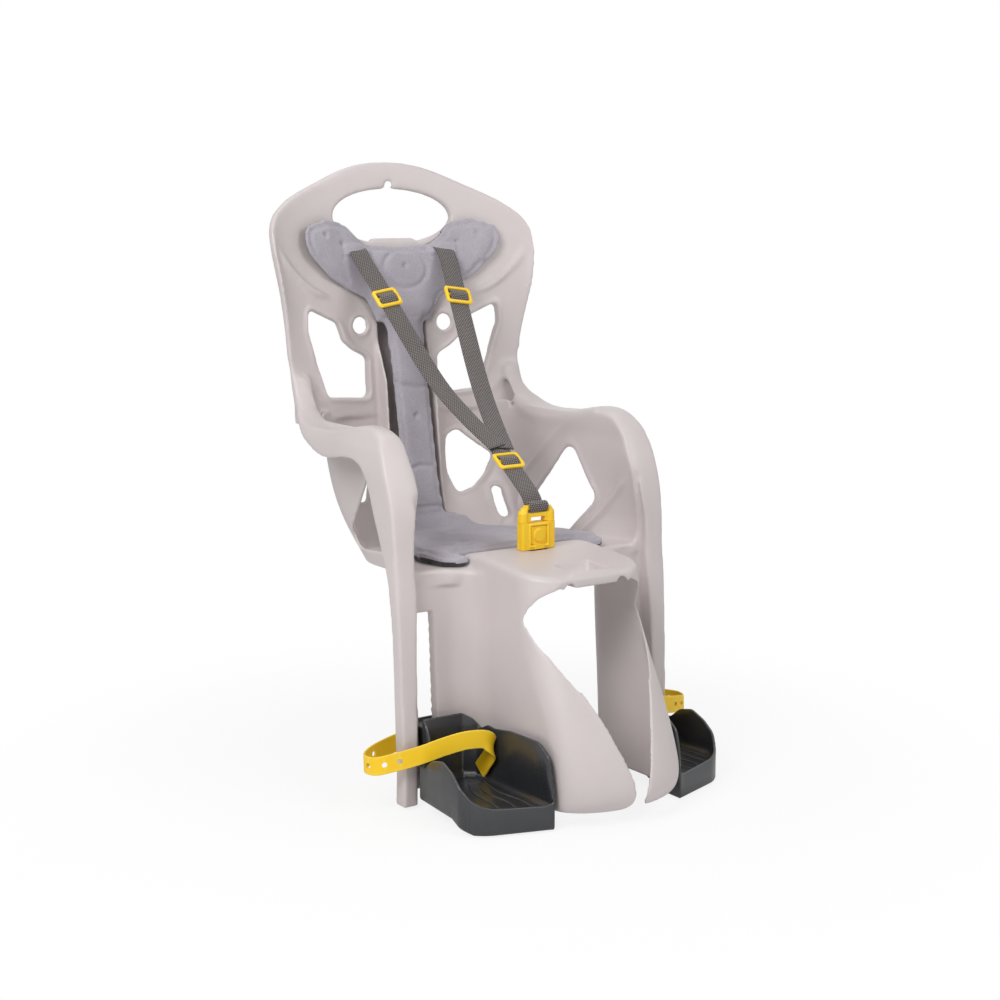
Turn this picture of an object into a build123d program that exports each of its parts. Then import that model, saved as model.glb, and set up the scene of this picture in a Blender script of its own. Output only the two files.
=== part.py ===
from build123d import *
import os
from math import atan2, degrees

# Child bike seat with a one-piece moulded shell, in millimetres.
# X runs across the seat, the child faces -Y, Z is up, and heights count from the ground plane
# under the rails and footrests.  Left is -X, right is +X.

# Moulding
WALL = 4.0                # wall of the shell
BACK_FLANGE = 13.0        # depth of the flange that stiffens the back's rim and windows
RIM_WIDTH = 4.5           # width of that flange

# Back with its wings: height, front face at the middle, half width, wing edge
BACK_ROWS = [
    (424, 226, 183, 176),
    (475, 229, 178, 204),
    (521, 231, 185, 204),
    (569, 235, 190, 196),
    (640, 247, 202, 196),
    (690, 256, 204, 206),
    (756, 267, 205, 223),
]
# Outline of the back, right half, from the crown down to the waist
HEAD_OUTLINE = [(0, 752), (58, 745), (112, 725), (165, 701), (196, 672), (199, 638), (188, 570), (178, 500),
                (177, 450)]
HEAD_FOOT = (184, 400)

# Bucket under the back: height, front face of the back, half width of the sides
BUCKET_ROWS = [
    (254, 162, 126),
    (285, 190, 131),
    (312, 208, 136),
    (350, 221, 142),
    (395, 225, 148),
    (436, 227, 152),
]
BUCKET_CORNER = 72.0      # corner between side and back
BUCKET_FRONT = -54.0      # where the sides end in the rails

# Openings of the back
HANDLE_HEIGHT = 681.5
HANDLE_HALF_WIDTH = 91.0
HANDLE_HALF_HEIGHT = 35.5
TAB_HALF_WIDTH = 33.0
TAB_TOP = 653.0
STRAP_SLOT_X = 66.0
STRAP_SLOT_HEIGHT = 640.0
WEB_WIDTH = 28.0          # woven harness webbing
WEB_THICKNESS = 1.5
SLOT_CLEARANCE = 1.0      # around webbing in its slots
UPPER_WINDOW = [(146, 567), (147, 540), (132, 494), (119, 452), (54, 447), (54, 500), (74, 510), (89, 522),
                (98, 546)]
LOWER_WINDOW = [(64, 389), (82, 397), (124, 362), (111, 335), (95, 319), (72, 312), (62, 342)]
WINDOW_CORNER = 7.0
TAB_HOLE = (65.0, 542.0)
TAB_HOLE_RADIUS = 10.5
SIDE_OPENING = [(58, 393), (4, 326), (40, 278), (158, 270)]
SIDE_OPENING_CORNER = 15.0
WAIST_SLOT = (118.0, 301.0)
WAIST_SLOT_LENGTH = 40.0
WAIST_SLOT_WIDTH = 8.0

# Spine channel that the liner lies in
CHANNEL_HALF_WIDTH = 40.0
CHANNEL_FRONT = [(186, 292), (196, 345), (208, 470), (230, 522), (238, 575)]
CHANNEL_REAR = [(266, 575), (248, 470), (240, 345), (214, 292)]

# Armrests and rails, seen from the side: top and front edge, then the edge of the outer flange
ARM_TOP = [(207, 482), (190, 448), (160, 432), (112, 429), (60, 434), (14, 441), (-20, 433), (-44, 404),
           (-62, 360), (-70, 300), (-76, 222), (-80, 142), (-83, 60), (-82, 2)]
FLANGE_EDGE = [(-61, 2), (-63, 60), (-62, 141), (-58, 221), (-43, 289), (-15, 355), (6, 390), (32, 400),
               (86, 395), (122, 400), (160, 418), (198, 450), (218, 482)]
# and from the front: the outer edge from the waist down, and the inner edge from the top down
ARM_OUTER = [(176, 482), (178, 456), (187, 438), (196, 418), (200, 392), (200, 300), (199, 140), (197, 2)]
RAIL_INNER = [(178, 2), (177, 100), (174, 200), (170, 270), (162, 320), (152, 370), (148, 420), (148, 482)]
RAIL_OUTER = 200.0
ARM_CORE = 140.0          # the armrests' solids start this far from the middle
GUSSET = [(124, 262), (176, 262), (172, 300), (163, 345), (152, 400), (148, 400), (136, 312), (131, 285)]

# Calf walls and leg guard in plan: height, calf wall, guard's front, depth of its round front
GUARD_ROWS = [
    (17, -69, -264, 48),
    (45, -67.5, -279.3, 50),
    (85, -65.5, -268, 50),
    (125, -63, -251, 52),
    (165, -60, -232, 56),
    (210, -57, -215, 60),
    (268, -54, -204, 62),
]
GUARD_HALF_WIDTH = 85.0
GUARD_BLEND = 40.0        # concave corner between guard and calf wall
GUARD_CUT = [(50, 263), (63, 258), (73, 251), (80, 239), (82, 226), (77, 206), (64, 182), (49, 154),
             (33, 119), (18, 77), (11, 55), (7.5, 36), (8, 24), (17, 14)]
CALF_OUTER = 180.0
SLOT_X = (140.0, 165.0)
SLOT_Z = (36.0, 226.0)
TOOTH_PITCH = 12.0
TOOTH_DEPTH = 4.0

# Seat pan and pommel
PAN_LINE = [(-57, 275), (60, 271), (175, 262)]     # top of the pan, from the side
POMMEL_FRONT = -190.0
LIP_BOTTOM = 263.0
POMMEL_TOP = [(-190, 277), (-140, 283), (-90, 287), (-55, 288), (-32, 283)]
POMMEL_RADIUS = 7.0
POMMEL_CORNER_RADIUS = 12.0
NOTCH_X = 38.0
NOTCH_RADIUS = 7.2

# Carrier rod sockets under the pan
ROD_RADIUS = 5.0
ROD_CLEARANCE = 0.15
ROD_HEIGHT = 262.0
SOCKET_MOUTH = -50.0
SOCKET_LENGTH = 110.0
SOCKET_WALL = 3.5
RIB_HEIGHT = 8.9          # from the socket's middle up into the pan

# Soft liner
PAD_GAP = 0.3             # between soft pieces and what they lie on
PAD_THICKNESS = 9.0
HEAD_PAD = [(0, 646), (46, 648), (60, 656), (76, 671), (97, 680), (120, 681), (145, 672), (151, 656),
            (142, 634), (114, 606), (84, 588), (60, 574), (46, 552), (42, 545), (0, 545)]
SPINE_FOOT = (176.0, 285.0)     # the liner's face at the seat
SPINE_HEAD = (231.0, 600.0)     # and between the shoulders
SPINE_HALF_WIDTH = 30.0
SPINE_THICKNESS = 7.0
SEAT_PAD_PLAN = [(0, -31.5), (89, -31.5), (90, -60), (110, -62), (124, -48), (127, 0), (118, 35), (98, 70),
                 (80, 105), (72, 140), (58, 170), (34, 188), (0, 188)]
SEAT_PAD_SIDE = [(-62, 277), (-58, 275.6), (60, 271.6), (158, 264.3), (184, 289), (176, 291), (150, 277),
                 (60, 283), (-48, 288), (-59, 286)]

# Harness, right side: strap from the shoulder slot to the chest, as x, y, z
SHOULDER_ROUTE = [(66, 249.8, 640.3), (66, 234, 640), (66.1, 222.9, 630.2), (54.4, 180.6, 578.3),
                  (31, 96, 474.5), (17, 46, 430), (4.9, 4.5, 401)]
LAYER = 2.6               # the left strap lies this far above the right one where they meet
CROTCH_ROUTE = [(0, 14, 405), (0, -11.5, 386.4), (0, -37, 367.8), (0, -57, 352.5), (0, -63.6, 343),
                (0, -64.2, 336.6), (0, -66, 335), (0, -74, 335), (0, -76, 336.8), (0, -76, 342),
                (0, -74.4, 344.2), (0, -70, 345.4)]
SLIDER_LENGTH = 26.0      # along the strap
SLIDER_WIDTH = 38.0
SLIDER_BAR = 3.6
SLIDER_THICKNESS = 2.6
SLIDER_LIFT = 1.2         # the frame's underside above the middle of the strap
SLIDER_SIDE = 4.0
CHEST_LIFT = 1.2          # the chest adjuster lies on the crotch strap
BAR_LENGTH = 44.0         # rods that hold the shoulder straps behind the back
BAR_RADIUS = 2.5

# Buckle on the pommel
BUCKLE_Y = -70.0
BUCKLE_FOOT = 288.4
BUCKLE_SPLIT = 321.0      # where the tongue meets the housing
BUCKLE_TOP = 342.0
BUCKLE_WIDTH = 49.0
BUCKLE_THICKNESS = 14.0
TONGUE_THICKNESS = 9.0
BLADE = (28.0, 3.6, 14.0)       # width, thickness and length of the tongue's blade
BLADE_CLEARANCE = 0.4
BUTTON_WIDTH = 22.0
BUTTON_HEIGHT = 22.0
BUTTON_CLEARANCE = 0.35
BUTTON_DEPTH = 4.2
BUTTON_TRAVEL = 2.0
ANCHOR_STEM = (26.0, 5.0)

# Footrests, right side
FOOT_PLAN = [(97, -89), (112, -75), (168, -74), (169, -93), (186, -96), (190, -204), (92, -236), (93, -105)]
FOOT_CORNER = 7.0
FOOT_WALL = 3.5
FOOT_FLOOR = 26.0         # top of the foot plate
FOOT_OUTER_TOP = [(-60, 106), (-86, 104), (-89, 52), (-113, 52), (-116, 89), (-147, 77), (-169, 65),
                  (-184, 44), (-204, 29), (-250, 26)]
FOOT_INNER_TOP = [(-60, 106), (-84, 103), (-100, 92), (-118, 90), (-150, 96), (-205, 98), (-222, 86),
                  (-230, 60), (-238, 30), (-260, 26)]
FOOT_SKIRT = [(-60, 18), (-168, 15), (-188, 5), (-200, 0)]
LATCH_NECK = (140.35, 164.65)
LATCH_PLATE = (132.0, 172.0)
LATCH_Z = (50.0, 92.0)
LATCH_PLATE_Y = (-44.0, -40.0)
STRAP_BAND = 22.0
STRAP_THICKNESS = 2.2
FOOT_STRAP_ROUTE = [(102.5, -99, 37), (102, -112, 52), (104, -128, 72), (113, -129.5, 83), (133, -121.5, 84.5),
                    (158, -108.5, 78), (183, -96.5, 70), (211.5, -81.5, 63), (227, -66.5, 59), (229, -52, 59),
                    (216, -42, 61), (190, -36.5, 66), (165, -36.5, 70), (138, -36.5, 71)]
STUD_PLACE = (150.0, 70.5)      # x and height of the stud that holds the strap on the latch plate
STUD_RADIUS = 3.0
STUD_CLEARANCE = 0.05
STUD_HEAD = (5.5, 2.6)          # radius and height

os.makedirs("parts", exist_ok=True)


def wing_section(row, front, rear):
    """Crescent across the back at one height, between two offsets behind its front face."""
    height, middle, half_width, edge = row
    depth = middle - edge
    with BuildSketch(Plane.XY.offset(height)) as section:
        with BuildLine():
            EllipticalCenterArc((0, edge), half_width + rear, depth + rear, 0, arc_size=180)
            Line((-half_width - rear, edge), (-half_width - front, edge))
            EllipticalCenterArc((0, edge), half_width + front, depth + front, 180, arc_size=-180)
            Line((half_width + front, edge), (half_width + rear, edge))
        make_face()
    return section.sketch


def bucket_section(row, offset, front):
    """Closed U across the bucket at one height, its front face moved out by the offset."""
    height, middle, half_width = row
    side = half_width + offset
    rear = middle + offset
    radius = BUCKET_CORNER + offset
    with BuildSketch(Plane.XY.offset(height)) as section:
        with BuildLine():
            Line((side, front), (side, rear - radius))
            RadiusArc((side, rear - radius), (side - radius, rear), -radius)
            Line((side - radius, rear), (radius - side, rear))
            RadiusArc((radius - side, rear), (-side, rear - radius), -radius)
            Line((-side, rear - radius), (-side, front))
            Line((-side, front), (side, front))
        make_face()
    return section.sketch


def guard_section(row, offset, rear, end):
    """Calf walls and guard at one height: everything behind their front face."""
    height, calf, nose, depth = row
    side = GUARD_HALF_WIDTH - offset
    blend = GUARD_BLEND + offset
    calf = calf + offset
    nose = nose + offset
    depth = depth - offset
    turn = GUARD_HALF_WIDTH + GUARD_BLEND
    with BuildSketch(Plane.XY.offset(height)) as section:
        with BuildLine():
            Line((end, rear), (end, calf))
            Line((end, calf), (turn, calf))
            RadiusArc((turn, calf), (side, calf - blend), -blend)
            Line((side, calf - blend), (side, nose + depth))
            EllipticalCenterArc((0, nose + depth), side, depth, 0, arc_size=-180)
            Line((-side, nose + depth), (-side, calf - blend))
            RadiusArc((-side, calf - blend), (-turn, calf), -blend)
            Line((-turn, calf), (-end, calf))
            Line((-end, calf), (-end, rear))
            Line((-end, rear), (end, rear))
        make_face()
    return section.sketch


def front_profile(points, radius=0.0):
    """Closed polygon in the front view, on a plane far behind the seat."""
    with BuildSketch(Plane.XZ.offset(-REACH)) as profile:
        with BuildLine():
            Polyline(points, close=True)
        make_face()
        if radius:
            fillet(profile.vertices(), radius)
    return profile.sketch


def mirrored(sketch):
    """A sketch of the front view and its image across the seat's middle."""
    return Sketch() + [sketch, mirror(sketch, about=Plane.YZ)]


REACH = 400.0             # half of a box that holds the whole seat


def outline_face(half, foot, radius=0.0):
    """Front view face inside a smooth half outline, its mirror image and a straight foot."""
    left = [(-x, z) for x, z in reversed(half)]
    with BuildSketch(Plane.XZ.offset(-REACH)) as face:
        with BuildLine():
            Spline(left + half[1:])
            Polyline(half[-1], foot, (-foot[0], foot[1]), left[0])
        make_face()
    return face.sketch


def inset(half, distance):
    """A half outline drawn in: each point moves square to the line between its neighbours."""
    before = [(-half[1][0], half[1][1])] + half[:-1]
    after = half[1:] + [HEAD_FOOT]
    moved = []
    for (x, z), (x0, z0), (x1, z1) in zip(half, before, after):
        run = Vector(x1 - x0, z1 - z0).normalized()
        moved.append((x + run.Y * distance, z - run.X * distance))
    return moved


def handle_outline(margin):
    """Oval hand hole with the flat tab in its lower edge, grown by a margin."""
    with BuildSketch(Plane.XZ.offset(-REACH)) as hole:
        with Locations((0, HANDLE_HEIGHT)):
            Ellipse(HANDLE_HALF_WIDTH + margin, HANDLE_HALF_HEIGHT + margin)
        with Locations((0, HANDLE_HEIGHT - HANDLE_HALF_HEIGHT - margin)):
            tab_height = TAB_TOP - HANDLE_HEIGHT + HANDLE_HALF_HEIGHT
            Rectangle(2 * (TAB_HALF_WIDTH - margin), 2 * tab_height, mode=Mode.SUBTRACT)
    return hole.sketch


def pommel_plan(height, wall):
    """Pommel seen from above: the guard's round front, cut off at the lip, drawn in by a wall."""
    nose, depth = GUARD_ROWS[-1][2:]
    half_width = GUARD_HALF_WIDTH - wall
    shoulder = nose + depth
    rear = POMMEL_TOP[-1][0] - wall
    with BuildSketch(Plane.XY.offset(height)) as plan:
        with BuildLine():
            EllipticalCenterArc((0, shoulder), half_width, depth - wall, 0, arc_size=-180)
            Polyline((-half_width, shoulder), (-half_width, rear), (half_width, rear), (half_width, shoulder))
        make_face()
        with Locations((0, POMMEL_FRONT + wall - REACH / 2)):
            Rectangle(REACH, REACH, mode=Mode.SUBTRACT)
        fillet(plan.vertices().group_by(Axis.Y)[0], POMMEL_CORNER_RADIUS - wall)
    return plan.sketch


# The moulded shell
head_face = outline_face(HEAD_OUTLINE, HEAD_FOOT)
upper_windows = mirrored(front_profile(UPPER_WINDOW, WINDOW_CORNER))
windows = upper_windows + mirrored(front_profile(LOWER_WINDOW, WINDOW_CORNER))
with BuildSketch(Plane.XZ.offset(-REACH)) as handle_notch:
    with BuildLine():
        Polyline((-6, 714), (-4, 724), (0, 728), (4, 724), (6, 714), close=True)
    make_face()
with BuildSketch(Plane.XZ.offset(-REACH)) as strap_slots:
    with Locations((-STRAP_SLOT_X, STRAP_SLOT_HEIGHT), (STRAP_SLOT_X, STRAP_SLOT_HEIGHT)):
        SlotOverall(WEB_WIDTH + 2 * SLOT_CLEARANCE + 4, 7)
with BuildSketch(Plane.XZ.offset(-REACH)) as round_holes:
    with Locations((-TAB_HOLE[0], TAB_HOLE[1]), TAB_HOLE):
        Circle(TAB_HOLE_RADIUS)
with BuildSketch(Plane.XZ.offset(-REACH)) as waist_slots:
    for side in (-1, 1):
        with Locations((side * WAIST_SLOT[0], WAIST_SLOT[1])):
            SlotOverall(WAIST_SLOT_LENGTH, WAIST_SLOT_WIDTH, rotation=90 - 6 * side)

with BuildPart() as back:
    loft([wing_section(row, 0, BACK_FLANGE) for row in BACK_ROWS])
    extrude(head_face, amount=2 * REACH, mode=Mode.INTERSECT)

with BuildPart() as back_pocket:
    loft([wing_section(row, WALL, BACK_FLANGE + WALL) for row in BACK_ROWS])
    inner_face = outline_face(inset(HEAD_OUTLINE, RIM_WIDTH), (HEAD_FOOT[0] - RIM_WIDTH, HEAD_FOOT[1]))
    extrude(inner_face, amount=2 * REACH, mode=Mode.INTERSECT)
    extrude(handle_outline(RIM_WIDTH), amount=2 * REACH, mode=Mode.SUBTRACT)
    extrude(offset(windows, amount=RIM_WIDTH), amount=2 * REACH, mode=Mode.SUBTRACT)

with BuildPart() as bucket:
    loft([bucket_section(row, WALL, BUCKET_FRONT) for row in BUCKET_ROWS])
    loft([bucket_section(row, 0, BUCKET_FRONT - WALL) for row in BUCKET_ROWS], mode=Mode.SUBTRACT)
    for side in (-1, 1):
        with BuildSketch(Plane.YZ.offset(side * 100)) as side_opening:
            with BuildLine():
                Polyline(SIDE_OPENING, close=True)
            make_face()
            fillet(side_opening.vertices(), SIDE_OPENING_CORNER)
        extrude(amount=side * 80, mode=Mode.SUBTRACT)

with BuildPart() as channel:
    with BuildSketch(Plane.YZ.offset(-CHANNEL_HALF_WIDTH)):
        with BuildLine():
            Polyline(CHANNEL_FRONT + CHANNEL_REAR, close=True)
        make_face()
    extrude(amount=2 * CHANNEL_HALF_WIDTH)

with BuildPart() as channel_pocket:
    with BuildSketch(Plane.YZ.offset(-CHANNEL_HALF_WIDTH + WALL)):
        with BuildLine():
            pocket_front = [(y - 30, z) for y, z in CHANNEL_FRONT]
            Polyline(pocket_front + [(y - WALL, z) for y, z in CHANNEL_REAR], close=True)
        make_face()
    extrude(amount=2 * (CHANNEL_HALF_WIDTH - WALL))

with BuildPart() as arm:
    with BuildSketch(Plane.YZ.offset(ARM_CORE)):
        with BuildLine():
            Spline(ARM_TOP)
            Line(ARM_TOP[-1], FLANGE_EDGE[0])
            Spline(FLANGE_EDGE)
            Line(FLANGE_EDGE[-1], ARM_TOP[0])
        make_face()
    extrude(amount=RAIL_OUTER - ARM_CORE)
    extrude(front_profile(ARM_OUTER + RAIL_INNER), amount=2 * REACH, mode=Mode.INTERSECT)

with BuildPart() as arm_pocket:
    with BuildSketch(Plane.YZ.offset(ARM_CORE)):
        with BuildLine():
            Spline([(y + WALL, z - WALL) for y, z in ARM_TOP])
            Polyline((ARM_TOP[-1][0] + WALL, ARM_TOP[-1][1] - WALL), (0, -10), (230, 380),
                     (ARM_TOP[0][0] + 40, ARM_TOP[0][1]), (ARM_TOP[0][0] + WALL, ARM_TOP[0][1] - WALL))
        make_face()
    extrude(amount=RAIL_OUTER - ARM_CORE)
    outer_inset = [(x - WALL, z) for x, z in ARM_OUTER]
    inner_inset = [(x + WALL, z) for x, z in RAIL_INNER]
    extrude(front_profile(outer_inset + inner_inset), amount=2 * REACH, mode=Mode.INTERSECT)

with BuildPart() as calf_guard:
    loft([guard_section(row, 0, 0, CALF_OUTER) for row in GUARD_ROWS])
    loft([guard_section(row, WALL, 1, CALF_OUTER + 1) for row in GUARD_ROWS], mode=Mode.SUBTRACT)
    guard_opening = GUARD_CUT + [(-x, z) for x, z in reversed(GUARD_CUT)]
    extrude(front_profile(guard_opening), amount=2 * REACH, mode=Mode.SUBTRACT)
    with Locations((0, POMMEL_FRONT - 50, LIP_BOTTOM)):
        Box(2 * GUARD_HALF_WIDTH, 100, 30, mode=Mode.SUBTRACT)

with BuildPart() as pommel:
    pommel_end = POMMEL_TOP[-1][0]
    extrude(pommel_plan(LIP_BOTTOM, 0), amount=40)
    with BuildSketch(Plane.YZ.offset(-100)):
        with BuildLine():
            Spline(POMMEL_TOP)
            Polyline(POMMEL_TOP[-1], (pommel_end, LIP_BOTTOM), (POMMEL_FRONT, LIP_BOTTOM), POMMEL_TOP[0])
        make_face()
    extrude(amount=200, mode=Mode.INTERSECT)
    fillet(pommel.faces().sort_by(Axis.Z)[-1].edges(), POMMEL_RADIUS)

with BuildPart() as pommel_pocket:
    extrude(pommel_plan(LIP_BOTTOM - WALL, WALL), amount=40)
    with BuildSketch(Plane.YZ.offset(-100)):
        with BuildLine():
            Spline([(y, z - WALL) for y, z in POMMEL_TOP])
            Polyline((pommel_end, POMMEL_TOP[-1][1] - WALL), (pommel_end, LIP_BOTTOM - 10),
                     (POMMEL_FRONT - 5, LIP_BOTTOM - 10), (POMMEL_FRONT - 5, POMMEL_TOP[0][1] - WALL),
                     (POMMEL_FRONT, POMMEL_TOP[0][1] - WALL))
        make_face()
    extrude(amount=200, mode=Mode.INTERSECT)

with BuildPart() as pan:
    with BuildSketch(Plane.YZ.offset(-CALF_OUTER)):
        with BuildLine():
            Polyline(PAN_LINE + [(y, z - WALL) for y, z in reversed(PAN_LINE)], close=True)
        make_face()
    extrude(amount=2 * CALF_OUTER)
    with BuildSketch(Plane.XY.offset(240)) as pan_plan:
        add(bucket_section((240, 167, 128), WALL / 2, PAN_LINE[0][0]))
        with Locations((0, PAN_LINE[0][0] + 9)):
            Rectangle(346, 18)
    extrude(amount=60, mode=Mode.INTERSECT)

with BuildPart() as slot_frame:
    # flange round the height slot, behind the calf wall, with its toothed inner side
    with BuildSketch(Plane.YZ.offset(SLOT_X[0] - WALL)):
        with BuildLine():
            Polyline((-66, SLOT_Z[0] - WALL), (-56, SLOT_Z[1] + WALL), (-42, SLOT_Z[1] + WALL),
                     (-52, SLOT_Z[0] - WALL), close=True)
        make_face()
    extrude(amount=SLOT_X[1] - SLOT_X[0] + 2 * WALL)
    teeth = int((SLOT_Z[1] - SLOT_Z[0]) / TOOTH_PITCH) - 1
    for n in range(teeth):
        height = SLOT_Z[0] + (n + 1) * TOOTH_PITCH
        rear = -52 + (height - SLOT_Z[0]) * 10 / (SLOT_Z[1] - SLOT_Z[0])
        with BuildSketch(Plane.YZ.offset(SLOT_X[0] - WALL)):
            with BuildLine():
                Polyline((rear + 2, height), (rear - TOOTH_DEPTH, height),
                         (rear + 2, height + TOOTH_PITCH * 0.8), close=True)
            make_face()
        extrude(amount=WALL, mode=Mode.SUBTRACT)

with BuildPart() as slot_cut:
    with Locations(((SLOT_X[0] + SLOT_X[1]) / 2, -60, (SLOT_Z[0] + SLOT_Z[1]) / 2)):
        Box(SLOT_X[1] - SLOT_X[0], 60, SLOT_Z[1] - SLOT_Z[0])

with BuildPart() as side_details:
    # right-hand armrest, rail, gusset, slot flange and rod socket, then their image
    add(arm.part)
    add(arm_pocket.part, mode=Mode.SUBTRACT)
    with BuildSketch(Plane.XZ.offset(-BUCKET_FRONT)):
        with BuildLine():
            Polyline(GUSSET, close=True)
        make_face()
    extrude(amount=WALL)
    add(slot_frame.part)
    with BuildSketch(Plane.XZ.offset(-SOCKET_MOUTH)):
        with Locations((NOTCH_X, ROD_HEIGHT)):
            Circle(ROD_RADIUS + ROD_CLEARANCE + SOCKET_WALL)
        with Locations((NOTCH_X, ROD_HEIGHT + RIB_HEIGHT / 2)):
            Rectangle(WALL, RIB_HEIGHT)
    extrude(amount=-SOCKET_LENGTH)

with BuildPart() as shell:
    add(back.part)
    add(back_pocket.part, mode=Mode.SUBTRACT)
    add(bucket.part)
    add(channel.part)
    for cut in (windows, handle_outline(0), handle_notch.sketch, strap_slots.sketch, round_holes.sketch,
                waist_slots.sketch):
        extrude(cut, amount=2 * REACH, mode=Mode.SUBTRACT)
    add(channel_pocket.part, mode=Mode.SUBTRACT)
    add(calf_guard.part)
    add(pan.part)
    add(pommel.part)
    add(pommel_pocket.part, mode=Mode.SUBTRACT)
    add(side_details.part)
    add(mirror(side_details.part, about=Plane.YZ))
    add(slot_cut.part, mode=Mode.SUBTRACT)
    add(mirror(slot_cut.part, about=Plane.YZ), mode=Mode.SUBTRACT)
    # rod sockets and the notches that let the rods in under the lip
    with BuildSketch(Plane.XZ.offset(-SOCKET_MOUTH)):
        with Locations((-NOTCH_X, ROD_HEIGHT), (NOTCH_X, ROD_HEIGHT)):
            Circle(ROD_RADIUS + ROD_CLEARANCE)
    extrude(amount=-SOCKET_LENGTH + WALL, mode=Mode.SUBTRACT)
    with BuildSketch(Plane.XZ.offset(-POMMEL_FRONT - WALL - 2)):
        with Locations((-NOTCH_X, ROD_HEIGHT), (NOTCH_X, ROD_HEIGHT)):
            Circle(NOTCH_RADIUS)
    extrude(amount=WALL + 10, mode=Mode.SUBTRACT)
    # slot for the buckle's stem
    with Locations((0, BUCKLE_Y, POMMEL_TOP[3][1])):
        stem_slot = [size + 2 * BLADE_CLEARANCE for size in ANCHOR_STEM]
        Box(*stem_slot, 20, mode=Mode.SUBTRACT)

shell.part.label = "shell"
export_step(shell.part, "parts/shell.step")

# Soft liner: head and spine strip behind the child, seat part on the pan
with BuildPart() as liner:
    loft([wing_section(row, -PAD_GAP - PAD_THICKNESS, -PAD_GAP) for row in BACK_ROWS])
    head_pad = HEAD_PAD + [(-x, z) for x, z in HEAD_PAD[-2:0:-1]]
    extrude(front_profile(head_pad), amount=2 * REACH, mode=Mode.INTERSECT)
    with BuildSketch(Plane.YZ.offset(-SPINE_HALF_WIDTH)):
        with BuildLine():
            Polyline(SPINE_FOOT, SPINE_HEAD, (SPINE_HEAD[0] + SPINE_THICKNESS, SPINE_HEAD[1]),
                     (SPINE_FOOT[0] + SPINE_THICKNESS, SPINE_FOOT[1]), close=True)
        make_face()
    extrude(amount=2 * SPINE_HALF_WIDTH)

with BuildPart() as seat_pad:
    with BuildSketch(Plane.XY.offset(250)):
        with BuildLine():
            Polyline(SEAT_PAD_PLAN + [(-x, y) for x, y in SEAT_PAD_PLAN[-2:0:-1]], close=True)
        make_face()
    extrude(amount=60)
    with BuildSketch(Plane.YZ.offset(-150)):
        with BuildLine():
            Polyline(SEAT_PAD_SIDE, close=True)
        make_face()
    extrude(amount=300, mode=Mode.INTERSECT)

with BuildPart() as liner_whole:
    add(liner.part)
    add(seat_pad.part)
    with BuildSketch(Plane.XZ.offset(-REACH)):
        with Locations((-STRAP_SLOT_X, STRAP_SLOT_HEIGHT), (STRAP_SLOT_X, STRAP_SLOT_HEIGHT)):
            SlotOverall(WEB_WIDTH + 2 * SLOT_CLEARANCE + 6, 10)
    extrude(amount=2 * REACH, mode=Mode.SUBTRACT)
liner_whole.part.label = "liner"
export_step(liner_whole.part, "parts/liner.step")


def station(point, ahead, across=(1, 0, 0)):
    """Plane across a strap at a point: X over its width, Y through its thickness, Z along it."""
    along = Vector(*ahead).normalized()
    width = Vector(*across)
    width = (width - along * width.dot(along)).normalized()
    return Plane(origin=point, x_dir=width, z_dir=along)


def ribbon(route, width, thickness, across=(1, 0, 0)):
    """Sections of a flat strap along a route, each turned half way between its two runs."""
    points = [Vector(*p) for p in route]
    sections = []
    for n, point in enumerate(points):
        before = points[max(n - 1, 0)]
        after = points[min(n + 1, len(points) - 1)]
        runs = [run.normalized() for run in (point - before, after - point) if run.length > 0]
        ahead = runs[0] + runs[-1]
        with BuildSketch(station(point, tuple(ahead), across)) as section:
            Rectangle(width, thickness)
        sections.append(section.sketch)
    return sections


def slider_plane(point, ahead, lift):
    """Plane of an adjuster lying on its strap: X across, Y up along the strap, Z off the strap."""
    along = Vector(*ahead).normalized()
    width = Vector(1, 0, 0)
    width = (width - along * width.dot(along)).normalized()
    normal = width.cross(along)
    if normal.Z < 0:
        normal = normal * -1
    return Plane(origin=Vector(*point) + normal * lift, x_dir=width, z_dir=normal)


def slider_frame(plane):
    """Three-bar adjuster: rounded frame with a bar across its middle."""
    with BuildPart() as frame:
        with BuildSketch(plane):
            RectangleRounded(SLIDER_WIDTH, SLIDER_LENGTH, 5)
            Rectangle(SLIDER_WIDTH - 2 * SLIDER_SIDE, SLIDER_LENGTH - 2 * SLIDER_BAR, mode=Mode.SUBTRACT)
        extrude(amount=SLIDER_THICKNESS)
        with BuildSketch(plane):
            Rectangle(SLIDER_WIDTH - SLIDER_SIDE, SLIDER_BAR)
        extrude(amount=SLIDER_THICKNESS)
    return frame.part


def slider_loop(plane):
    """Webbing that is turned over the middle bar, standing in both windows of the frame."""
    reach = SLIDER_LENGTH / 2 - SLIDER_BAR - 1.6
    over = SLIDER_THICKNESS + 0.3 + WEB_THICKNESS / 2
    low = WEB_THICKNESS / 2 - SLIDER_LIFT + WEB_THICKNESS / 2 + 0.3
    with BuildPart() as loop:
        edge = plane.from_local_coords((-WEB_WIDTH / 2 + 1, 0, 0))
        with BuildSketch(Plane(origin=edge, x_dir=plane.y_dir, z_dir=plane.x_dir)):
            with BuildLine() as route:
                Polyline((-reach, low + 0.4), (-SLIDER_BAR / 2 - 0.9, over), (SLIDER_BAR / 2 + 0.9, over),
                         (reach, low + 0.4))
            trace(route.line, WEB_THICKNESS)
        extrude(amount=WEB_WIDTH - 2)
    return loop.part


def reflected(route, side):
    """A route of the right side, or its mirror image."""
    return [(side * x, y, z) for x, y, z in route]


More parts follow.
